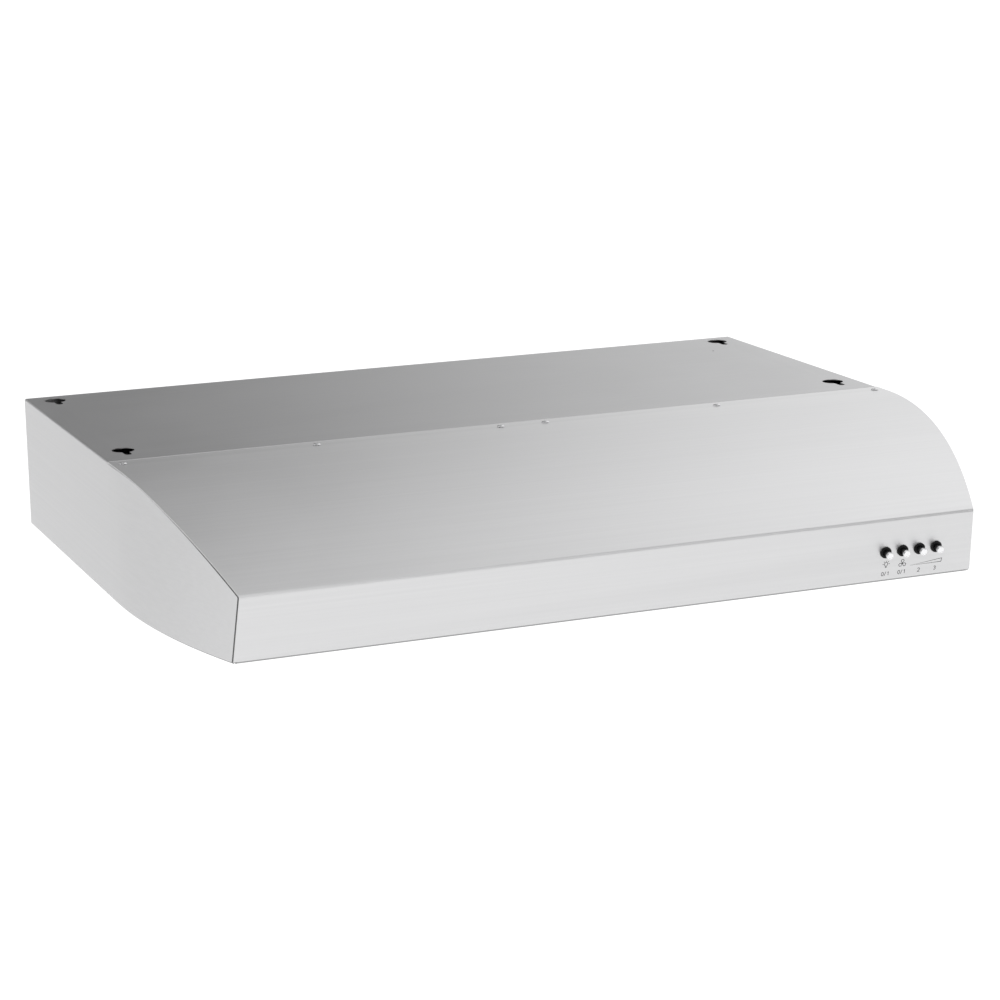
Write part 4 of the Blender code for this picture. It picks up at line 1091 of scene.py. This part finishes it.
FILTER_LAYERS = (
    # height, strands along Y, pitch, half a diamond's length, strand width
    (-0.00065, False, 0.0046, 0.0043, 0.0011),
    (0.0, True, 0.0040, 0.0037, 0.0010),
    (0.00065, False, 0.0050, 0.0046, 0.0011),
)


def mitre_lines(inner_x, inner_y, xs):
    """Cutters of the fine lines where the frame's four rails meet."""
    lines = []
    for x, outer_x in zip(inner_x, xs):
        for y, outer_y in zip(inner_y, FILTER_Y):
            way = Vector((outer_x - x, outer_y - y, 0))
            line = box((-0.001, way.length + 0.001), (-0.00018, 0.00018), (-0.0004, 0.0004))
            turn = Matrix.Rotation(math.atan2(way.y, way.x), 4, "Z")
            lines.append(move(line, Matrix.Translation((x, y, FILTER_Z[0])) @ turn))
    return lines


def frame_rivets(xs):
    """Small rivets under the front and rear rails, clear of the latch."""
    radius, depth, latch_half = 0.0019, -0.0003, 0.021
    profile = dome(radius, 0.0002, 0.00035, 4) + [(radius, depth), (0, depth)]
    face_down = Matrix.Rotation(math.pi, 4, "X")
    rivets = []
    for x in spread(xs[0] + 0.020, xs[1] - 0.020, 4):
        for y in (FILTER_Y[0] + FILTER_RIM / 2, FILTER_Y[1] - FILTER_RIM / 2):
            if abs(x - sum(xs) / 2) > latch_half or y > 0:
                place = Matrix.Translation((x, y, FILTER_Z[0]))
                rivets.append(move(turned(profile, 16, "rivet", RIVET_STEEL), place @ face_down))
    return rivets


def make_filter(side, sign):
    xs = sorted(sign * x for x in FILTER_X)
    body = f"filter_{side}"
    inner_x = (xs[0] + FILTER_RIM, xs[1] - FILTER_RIM)
    inner_y = (FILTER_Y[0] + FILTER_RIM, FILTER_Y[1] - FILTER_RIM)
    outline = rounded(rectangle(xs, FILTER_Y), 0.0028, 4)
    frame = prism(outline, "Z", *FILTER_Z, f"filter_{side}_frame", ALUMINIUM)
    cut(frame, prism(rounded(rectangle(inner_x, inner_y), 0.0015, 3), "Z", -0.13, -0.10))
    soften(frame, 0.0007, 3)
    groove, half_pad = 0.010, 0.0010
    cut(frame, box((inner_x[0] - groove, inner_x[1] + groove), (inner_y[0] - groove, inner_y[1] + groove),
                   (FILTER_PIN_Z - half_pad - GAP, FILTER_PIN_Z + half_pad + GAP)))
    cut(frame, *mitre_lines(inner_x, inner_y, xs))
    pins = [rod((FILTER_PIN_Y, FILTER_PIN_Z), FILTER_PIN_RADIUS, "X", low, high, "pin", RIVET_STEEL, 24)
            for low, high in ((xs[0] - 0.0030, xs[0] - 0.0001), (xs[1] + 0.0001, xs[1] + 0.0030))]
    frame = joined(f"filter_{side}_frame", [frame] + pins + frame_rivets(xs))
    finish_piece(frame, body, "aluminium", f"filter_frame_{side}")

    tuck, thick = groove - 0.001, 0.00045
    mesh_x = (inner_x[0] - tuck, inner_x[1] + tuck)
    mesh_y = (inner_y[0] - tuck, inner_y[1] + tuck)
    layers = [lattice("layer", mesh_x, mesh_y, FILTER_PIN_Z + height, across, pitch, step, strand, thick)
              for height, across, pitch, step, strand in FILTER_LAYERS]
    layers.append(box(mesh_x, mesh_y, (FILTER_PIN_Z + 0.0001, FILTER_PIN_Z + 0.0003), "core", WOOL))
    finish_piece(joined(f"filter_{side}_mesh", layers), body, "aluminium", f"filter_mesh_{side}")
    make_latch(side, sum(xs) / 2)


def make_latch(side, x):
    """Flat spring latch with a finger tab that turns down and is ribbed for grip."""
    top, thick, tab = FILTER_Z[0] - GAP, 0.0012, 0.0046
    front, rear = FILTER_Y[0] - 0.0045, FILTER_Y[0] + 0.0085
    outline = [(front, top), (front, top - thick), (rear - thick, top - thick), (rear - thick, top - tab),
               (rear, top - tab), (rear, top)]
    shape = rounded(outline, [0.0005, 0.0005, 0.0005, 0.0003, 0.0003, 0.0015], 5)
    half_length, rib_pitch, half_rib, rib_z = 0.020, 0.0035, 0.0012, top - 0.0030
    latch = prism(shape, "X", x - half_length, x + half_length, f"filter_latch_{side}_spring", RIVET_STEEL)
    soften(latch, 0.0002, 2, 60)
    for i in range(-4, 5):
        rib = x + rib_pitch * i
        cut(latch, rod((rear, rib_z), 0.0004, "X", rib - half_rib, rib + half_rib, segments=12))
    finish_piece(latch, f"latch_{side}", "steel_rod", f"filter_latch_{side}")


# ---------------------------------------------------------------- underside pan and lamps

def pan_outline(inset):
    """Plan of the pan inside the canopy, from the right rear corner forward and round to the left."""
    rear = BACK_Y - PAN_INSET - inset
    front = PAN_FRONT_Y + inset
    right = [(half_width(y) - PAN_INSET - inset, y) for y in spread(SIDE_BEND_Y, front, 32)]
    right.insert(0, (WIDTH / 2 - PAN_INSET - inset, rear))
    return right + [(-x, y) for x, y in reversed(right)]


def make_pan():
    skirt_bottom = -HEIGHT + SHEET + GAP
    pan = prism(pan_outline(0.0), "Z", skirt_bottom, PAN_TOP_Z, "recessed_pan", STEEL_INNER)
    cut(pan, prism(pan_outline(SHEET), "Z", skirt_bottom - 0.01, PAN_TOP_Z - SHEET))
    lip = 0.85 * SHEET
    for sign in (-1, 1):
        xs = [sign * x for x in OPENING_X]
        outer = rectangle((min(xs) - lip, max(xs) + lip), (OPENING_Y[0] - lip, OPENING_Y[1] + lip))
        fuse(pan, prism(rounded(outer, 0.0030, 5), "Z", LIP_BOTTOM_Z, PAN_TOP_Z - SHEET / 2))
        opening = rounded(rectangle(xs, OPENING_Y), 0.0022, 5)
        cut(pan, prism(opening, "Z", LIP_BOTTOM_Z - 0.01, PAN_TOP_Z + 0.01))
        cut(pan, rod((FILTER_PIN_Y, FILTER_PIN_Z), FILTER_PIN_RADIUS + 0.0004, "X",
                     min(xs) - 0.003, max(xs) + 0.003, segments=24))
        cut(pan, rod((sign * LAMP_X, LAMP_Y), LAMP_RADIUS + 0.0005, "Z",
                     PAN_TOP_Z - 0.01, PAN_TOP_Z + 0.01, segments=64))
    finish_piece(pan, "canopy", "stainless", "underside_pan")
    face = PAN_TOP_Z - SHEET
    places = [(x, y, face) for x in (-0.352, 0.0, 0.352) for y in (0.125, -0.150)]
    places += [(x, -0.372, face) for x in (-0.310, -0.100, 0.100, 0.310)]
    finish_piece(screw_heads("pan_screws", places, (0, 0, -1)), "canopy", "steel_rod")


def make_lamp(side, x):
    """Lamp housing with a round rim, a lens ribbed in rings and a small capsule bulb."""
    radius, wall, bore = LAMP_RADIUS, 0.0007, LAMP_RADIUS - SHEET
    rim = radius + 0.004
    floor, roof = PAN_TOP_Z - SHEET - GAP, PAN_TOP_Z + LAMP_HEIGHT
    rim_bottom = floor - 0.0015
    outline = [(0, roof), (radius, roof), (radius, floor), (rim, floor), (rim, rim_bottom),
               (bore, rim_bottom), (bore, floor), (radius - wall, floor + 0.0030),
               (radius - wall, roof - wall), (0, roof - wall)]
    profile = rounded(outline, [0, 0.0025, 0.0002, 0.0004, 0.0008, 0.0003, 0, 0, 0.002, 0], 4)
    can = shift(turned(profile, 72, f"lamp_{side}_bezel", STEEL_INNER), x, LAMP_Y)
    finish_piece(can, "canopy", "stainless", f"lamp_can_{side}")

    edge, face, back = bore - GAP, floor - 0.0010, floor + 0.0025
    ring, rib = 0.0008, 0.00022
    ring_count = math.ceil((edge - 0.006) / ring)
    under = [(ring * i, face + (rib if i % 2 else 0.0)) for i in range(ring_count)]
    outline = under + [(edge - 0.006, face), (edge, floor + 0.0005), (edge, back), (0, back)]
    lens = shift(turned(outline, 72, f"lamp_{side}_lens", FROST), x, LAMP_Y)
    finish_piece(lens, "canopy", "lamp_glass", f"lamp_lens_{side}")

    cap = roof - SHEET - GAP
    socket, capsule, shoulder = 0.0075, 0.0050, cap - 0.005
    outline = [(0, cap), (socket, cap), (socket, shoulder), (capsule, shoulder), (capsule, cap - 0.0125),
               (0, cap - 0.0144)]
    profile = rounded(outline, [0, 0.0006, 0.0008, 0.0002, 0.0022, 0], 5)
    bulb = shift(turned(profile, 40, f"lamp_{side}_capsule", CLEAR), x, LAMP_Y)
    finish_piece(bulb, "canopy", "lamp_glass", f"lamp_bulb_{side}")


# ---------------------------------------------------------------- back: panel, outlet, damper, cable clamp

FACE_BACK = Matrix.Rotation(-math.pi / 2, 4, "X")


def cable_hole(wall_y):
    """Cutter of the cable's hole through a wall."""
    return rod((CABLE_X, CABLE_Z), 0.0108, "Y", wall_y - 0.02, wall_y + 0.02, segments=48)


def make_back():
    """Rear panel with its duct and cable holes, two closed knock-outs and its screws."""
    inset = SHEET + GAP
    wide, notch_x = WIDTH / 2 - inset, WIDTH / 2 - FLANGE - 0.0005
    top, bottom = -SHEET - GAP, -HEIGHT
    notch_z = -HEIGHT + SHEET + GAP
    half = [(notch_x, bottom), (notch_x, notch_z), (wide, notch_z), (wide, top)]
    corner = 0.0015
    outline = rounded(half + [(-x, z) for x, z in reversed(half)],
                      [0, 0.0004, corner, corner, corner, corner, 0.0004, 0])
    panel = prism(outline, "Y", BACK_Y - SHEET, BACK_Y, "back_panel", STEEL_INNER)
    fuse(panel, box((-notch_x + 0.001, notch_x - 0.001), (BACK_Y - FLANGE, BACK_Y - SHEET / 2),
                    (bottom, bottom + SHEET)))
    duct = rectangle((-DUCT_HALF_WIDTH - GAP, DUCT_HALF_WIDTH + GAP), (DUCT_BOTTOM_Z - GAP, DUCT_TOP_Z + GAP))
    cut(panel, prism(rounded(duct, 0.0028, 5), "Y", BACK_Y - 0.02, BACK_Y + 0.02))
    cut(panel, cable_hole(BACK_Y))
    groove, inner, outer = 0.0003, 0.0106, 0.0112
    for x in (-CABLE_X, -CABLE_X + 0.045):
        ring = turned([(inner, 0), (outer, 0), (outer, 0.001), (inner, 0.001)], 48)
        cut(panel, move(ring, Matrix.Translation((x, BACK_Y - groove, CABLE_Z)) @ FACE_BACK))
        tie = box((x - 0.0012, x + 0.0012), (BACK_Y - groove, BACK_Y), (CABLE_Z + 0.0104, CABLE_Z + 0.0114))
        fuse(panel, tie)
    finish_piece(panel, "canopy", "stainless", "rear_panel")
    places = [(x, BACK_Y, z) for x in (-0.1313, 0.1313) for z in (-0.024, -0.072)]
    places += [(x, BACK_Y, -0.0934) for x in (-0.085, 0.0, 0.085)]
    places += [(x, BACK_Y, z) for x in (-0.371, 0.371) for z in (-0.020, -0.104)]
    finish_piece(screw_heads("back_screws", places, (0, 1, 0), 0.0029, 0.0011), "canopy", "steel_rod")


def duct_ring(grow, low, high, top=None):
    """Filled outline of the duct, grown outward; top sets another growth for the upper side."""
    xs = (-DUCT_HALF_WIDTH - grow, DUCT_HALF_WIDTH + grow)
    zs = (DUCT_BOTTOM_Z - grow, DUCT_TOP_Z + (grow if top is None else top))
    outline = rounded(rectangle(xs, zs), 0.0030 + 0.5 * grow, 5)
    return prism(outline, "Y", low, high, "outlet_collar", ZINC)


def make_outlet():
    """Duct collar with an inner flange and a rolled bead."""
    front, end = BACK_Y - 2 * SHEET - GAP, BACK_Y + DUCT_REACH
    collar = duct_ring(0.0, front + SHEET / 2, end)
    fuse(collar, duct_ring(0.008, front, front + SHEET, 0.0045))
    fuse(collar, duct_ring(0.0006, end - 0.0095, end - 0.0070))
    inner = rectangle((-DUCT_HALF_WIDTH + SHEET, DUCT_HALF_WIDTH - SHEET),
                      (DUCT_BOTTOM_Z + SHEET, DUCT_TOP_Z - SHEET))
    cut(collar, prism(rounded(inner, 0.0020, 5), "Y", front - 0.01, end + 0.01))
    cut(collar, rod((FLAP_AXIS_Y, FLAP_AXIS_Z), 0.0019, "X", -DUCT_HALF_WIDTH - 0.01, DUCT_HALF_WIDTH + 0.01,
                    segments=24))
    middle_z = (DUCT_TOP_Z + DUCT_BOTTOM_Z) / 2
    for z in (middle_z - 0.012, middle_z + 0.012):
        fuse(collar, rod((end - 0.0040, z), 0.0016, "X", DUCT_HALF_WIDTH - SHEET / 2,
                         DUCT_HALF_WIDTH + 0.0005, segments=20))
    finish_piece(collar, "canopy", "galvanised", "duct_collar")


def make_damper():
    """Back draught flap on its pin, stiffened by two beads."""
    wide, thick = DUCT_HALF_WIDTH - SHEET - 0.0015, 0.0008
    low = DUCT_BOTTOM_Z + SHEET + 0.0015
    corners = rounded(rectangle((-wide, wide), (low, FLAP_AXIS_Z)), [0.002, 0.002, 0, 0], 5)
    flap = prism(corners, "Y", FLAP_AXIS_Y - thick / 2, FLAP_AXIS_Y + thick / 2, "damper_blade", ZINC)
    pin_end = DUCT_HALF_WIDTH + 0.001
    fuse(flap, rod((FLAP_AXIS_Y, FLAP_AXIS_Z), 0.0015, "X", -pin_end, pin_end, segments=24))
    for z in (-0.034, -0.064):
        fuse(flap, rod((FLAP_AXIS_Y, z), 0.0011, "X", -wide + 0.012, wide - 0.012, segments=20))
    finish_piece(flap, "damper", "galvanised", "damper_flap")


def make_cable_clamp():
    """Cable gland: a threaded barrel with a hexagon nut on the inner side of the rear panel."""
    bore, barrel, nut_start, nut_end = 0.0072, 0.0105, 0.0030, 0.0070
    start = BACK_Y - 2 * SHEET - 2 * GAP - nut_end
    end = BACK_Y - 0.0002 - start
    threads = [(barrel - (0.0004 if i % 2 else 0.0), 0.0075 + 0.00045 * i) for i in range(4)]
    body = [(bore, 0.0), (barrel - 0.0002, 0.0), (barrel, 0.0003), (barrel, 0.0075)] + threads
    body += [(barrel - 0.0003, end), (bore + 0.0002, end), (bore, end - 0.0002)]
    clamp = turned(body, 48, "cable_gland", GREY)
    nut = prism(rounded(circle((0, 0), 0.0140, 6), 0.0010, 3), "Z", nut_start, nut_end)
    soften(nut, 0.0004, 2)
    cut(nut, rod((0, 0), 0.0090, "Z", 0.0, 0.01, segments=48))
    fuse(clamp, nut)
    move(clamp, Matrix.Translation((CABLE_X, start, CABLE_Z)) @ FACE_BACK)
    finish_piece(clamp, "canopy", "grey_plastic", "cable_clamp")


# ---------------------------------------------------------------- blower, motor and wiring

def make_wheel():
    """Squirrel cage: curved blades between a pressed back plate and a rolled ring."""
    top, bottom, plate, ring, inner = -0.0160, -0.0785, 0.0010, 0.0020, 0.0622
    bore, hub, hub_bottom = SHAFT_RADIUS + 0.0003, 0.010, top - 0.012
    dip, under = top - 0.0012, top - 0.0022
    back = turned([(bore, hub_bottom), (bore, top), (0.012, top), (0.016, dip), (0.050, dip), (0.054, top),
                   (WHEEL_RADIUS, top), (WHEEL_RADIUS, top - plate), (0.0537, top - plate),
                   (0.0497, under), (0.0162, under), (hub, top - plate), (hub, hub_bottom)],
                  72, "wheel", ZINC)
    outer = WHEEL_RADIUS + 0.0004
    ring_outline = [(inner, bottom), (outer, bottom), (outer, bottom + ring), (inner, bottom + ring)]
    rim = turned(rounded(ring_outline, 0.0007, 4), 72, "wheel", ZINC)
    parts = [back, rim]

    bend, thick, half, lean = 0.0110, 0.0007, math.radians(31), math.radians(28 - 90)
    middle = bend * math.cos(half)
    curve = [(bend * math.cos(a) - middle, bend * math.sin(a)) for a in spread(-half, half, 7)]
    curve += [((bend - thick) * math.cos(a) - middle, (bend - thick) * math.sin(a))
              for a in spread(half, -half, 7)]
    blade = prism(curve, "Z", bottom + ring / 2, top - plate / 2, "blade", ZINC)
    place = Matrix.Translation((inner + 0.0056, 0, 0)) @ Matrix.Rotation(lean, 4, "Z")
    for i in range(BLADE_COUNT):
        parts.append(copy_of(blade, Matrix.Rotation(2 * math.pi * i / BLADE_COUNT, 4, "Z") @ place))
    bpy.data.objects.remove(blade, do_unlink=True)
    wheel = shift(joined("squirrel_cage", parts), BLOWER_X)
    finish_piece(wheel, "blower", "galvanised", "blower_wheel")


def make_motor():
    """Open frame motor: painted end bells with vents round a band of laminations."""
    low, high, neck, radius = SCROLL_BOTTOM_Z, -0.0440, 0.013, MOTOR_RADIUS
    bore, bore_end, taper, nose = SHAFT_RADIUS + 0.0004, -0.0600, 0.006, high + 0.005
    profile = [(0, low), (radius - 0.007, low), (radius, low + taper), (radius, low + 0.014)]
    for i in range(10):
        z = low + 0.0145 + 0.0013 * i
        profile += [(radius - 0.0009, z), (radius - 0.0003, z + 0.0003), (radius - 0.0003, z + 0.0010)]
    profile += [(radius, high - 0.014), (radius, high - taper), (radius - 0.007, high), (neck, high),
                (neck, nose), (bore, nose), (bore, bore_end), (0, bore_end)]
    motor = turned(profile, 64, "motor_case", ENAMEL)
    vent = rounded(rectangle((0.017, 0.033), (-0.0026, 0.0026)), 0.0025, 4)
    vent_count = 12
    for i in range(vent_count):
        turn = Matrix.Rotation(2 * math.pi * (i + 0.5) / vent_count, 4, "Z")
        cut(motor, move(prism(vent, "Z", high - 0.0012, high + 0.01), turn))
    shift(motor, BLOWER_X)
    finish_piece(motor, "canopy", "motor_paint", "motor")


def make_bracket():
    """Three armed bracket under the motor, with a bolt in each arm."""
    top = SCROLL_BOTTOM_Z - GAP
    bottom = top - BRACKET_THICKNESS
    arms = (90, 210, 330)
    bolt_ring = 0.070
    places = [(BLOWER_X + bolt_ring * math.cos(a), bolt_ring * math.sin(a), bottom)
              for a in map(math.radians, arms)]
    bolts = screw_heads("bracket_bolts", places, (0, 0, -1), 0.0040, 0.0022)
    finish_piece(bolts, "canopy", "steel_rod")
    bracket = rod((0, 0), 0.028, "Z", bottom, top, "motor_spider", ZINC, 64)
    outline = rounded(rectangle((0.010, 0.078), (-0.006, 0.006)), [0, 0.0058, 0.0058, 0], 6)
    for degrees in arms:
        arm = prism(outline, "Z", bottom, top)
        fuse(bracket, move(arm, Matrix.Rotation(math.radians(degrees), 4, "Z")))
    for degrees in (30, 150, 270):
        way = Matrix.Rotation(math.radians(degrees), 2) @ Vector((0.017, 0))
        cut(bracket, rod(way, 0.0045, "Z", bottom - 0.01, top + 0.01, segments=32))
    soften(bracket, 0.0003, 2)
    shift(bracket, BLOWER_X)
    finish_piece(bracket, "canopy", "galvanised", "motor_bracket")


def make_capacitor():
    top = -SHEET - GAP
    case_bottom, tab_bottom, half_tab = top - 0.030, top - 0.038, 0.003
    outline = rounded(rectangle((-0.262, -0.214), (0.030, 0.058)), 0.0030, 5)
    case = prism(outline, "Z", case_bottom, top, "run_capacitor", BLACK)
    soften(case, 0.0012, 3)
    for x in (-0.246, -0.230):
        tab = box((x - half_tab, x + half_tab), (0.0435, 0.0445), (tab_bottom, case_bottom + 0.002))
        cut(tab, rod((x, tab_bottom + 0.0025), 0.0009, "Y", 0.04, 0.05, segments=16))
        fuse(case, tab)
    finish_piece(case, "canopy", "black_plastic", "capacitor")


def make_wiring_box():
    """Junction box behind the cable gland, its cover, and the terminal strip inside."""
    xs, ys = (0.200, 0.320), (0.060, BACK_Y - SHEET - GAP)
    top, bottom, overhang, screw_inset = -SHEET - GAP, -0.0700, 0.004, 0.007
    outline = rounded(rectangle(xs, ys), [0.0015, 0.0015, 0, 0], 4)
    case = prism(outline, "Z", bottom, top, "junction_box", ZINC)
    cut(case, box((xs[0] + SHEET, xs[1] - SHEET), (ys[0] + SHEET, ys[1] - SHEET),
                  (bottom - 0.01, top - SHEET)))
    cut(case, cable_hole(ys[1]))
    finish_piece(case, "canopy", "galvanised", "wiring_box")
    low = bottom - GAP - SHEET
    outline = rounded(rectangle((xs[0] - overhang, xs[1] + overhang), (ys[0] - overhang, ys[1])),
                      [0.003, 0.003, 0, 0], 5)
    cover = prism(outline, "Z", low, bottom - GAP, "junction_cover", ZINC)
    soften(cover, 0.0003, 2)
    finish_piece(cover, "canopy", "galvanised", "wiring_box_cover")
    places = [(x, y, low) for x in (xs[0] + screw_inset, xs[1] - screw_inset)
              for y in (ys[0] + screw_inset, ys[1] - screw_inset)]
    finish_piece(screw_heads("cover_screws", places, (0, 0, -1)), "canopy", "steel_rod")

    ceiling, middle, wells = top - SHEET - GAP, 0.093, (0.242, 0.260, 0.278)
    outline = rounded(rectangle((0.232, 0.288), (0.082, 0.104)), 0.0012, 3)
    strip = prism(outline, "Z", ceiling - 0.018, ceiling, "terminal_strip", GREY)
    soften(strip, 0.0006, 2)
    for x in wells:
        cut(strip, rod((x, middle), 0.004, "Z", ceiling - 0.03, ceiling - 0.010, segments=32))
    for x in (0.251, 0.269):
        cut(strip, box((x - 0.0007, x + 0.0007), (0.07, 0.12), (ceiling - 0.03, ceiling - 0.013)))
    finish_piece(strip, "canopy", "grey_plastic", "terminal_block")
    places = [(x, middle, ceiling - 0.0101) for x in wells]
    screws = screw_heads("terminal_screws", places, (0, 0, -1), 0.0030, 0.0016)
    finish_piece(screws, "canopy", "steel_rod")


make_camera()
make_world()
make_floor()
make_light("key", (-1.6, -1.2, 3.2), (0.0, -0.1, 0.0), (1.8, 1.8), 12)
make_light("fill", (2.2, -3.0, 1.6), (0.0, -0.2, -0.05), (2.0, 1.6), 6)
bpy.context.scene.view_settings.view_transform = "Standard"

make_shell()
make_front_skin()
make_rivets()
make_buttons()
make_marks()
for side, sign in (("left", -1), ("right", 1)):
    make_filter(side, sign)
    make_lamp(side, sign * LAMP_X)
make_pan()
make_back()
make_outlet()
make_damper()
make_cable_clamp()
make_wheel()
make_motor()
make_bracket()
make_capacitor()
make_wiring_box()

CAD_FINISH = {
    "stainless": STEEL_INNER, "galvanised": ZINC, "aluminium": ALUMINIUM, "chrome": CHROME,
    "steel_rod": RIVET_STEEL, "black_plastic": BLACK, "grey_plastic": GREY, "motor_paint": ENAMEL,
    "lamp_glass": FROST, "cable_jacket": JACKET,
}
for cad_node in frame["nodes"].values():
    for slot in cad_node.material_slots:
        slot.material = CAD_FINISH.get(slot.material.name.split(".")[0], slot.material)
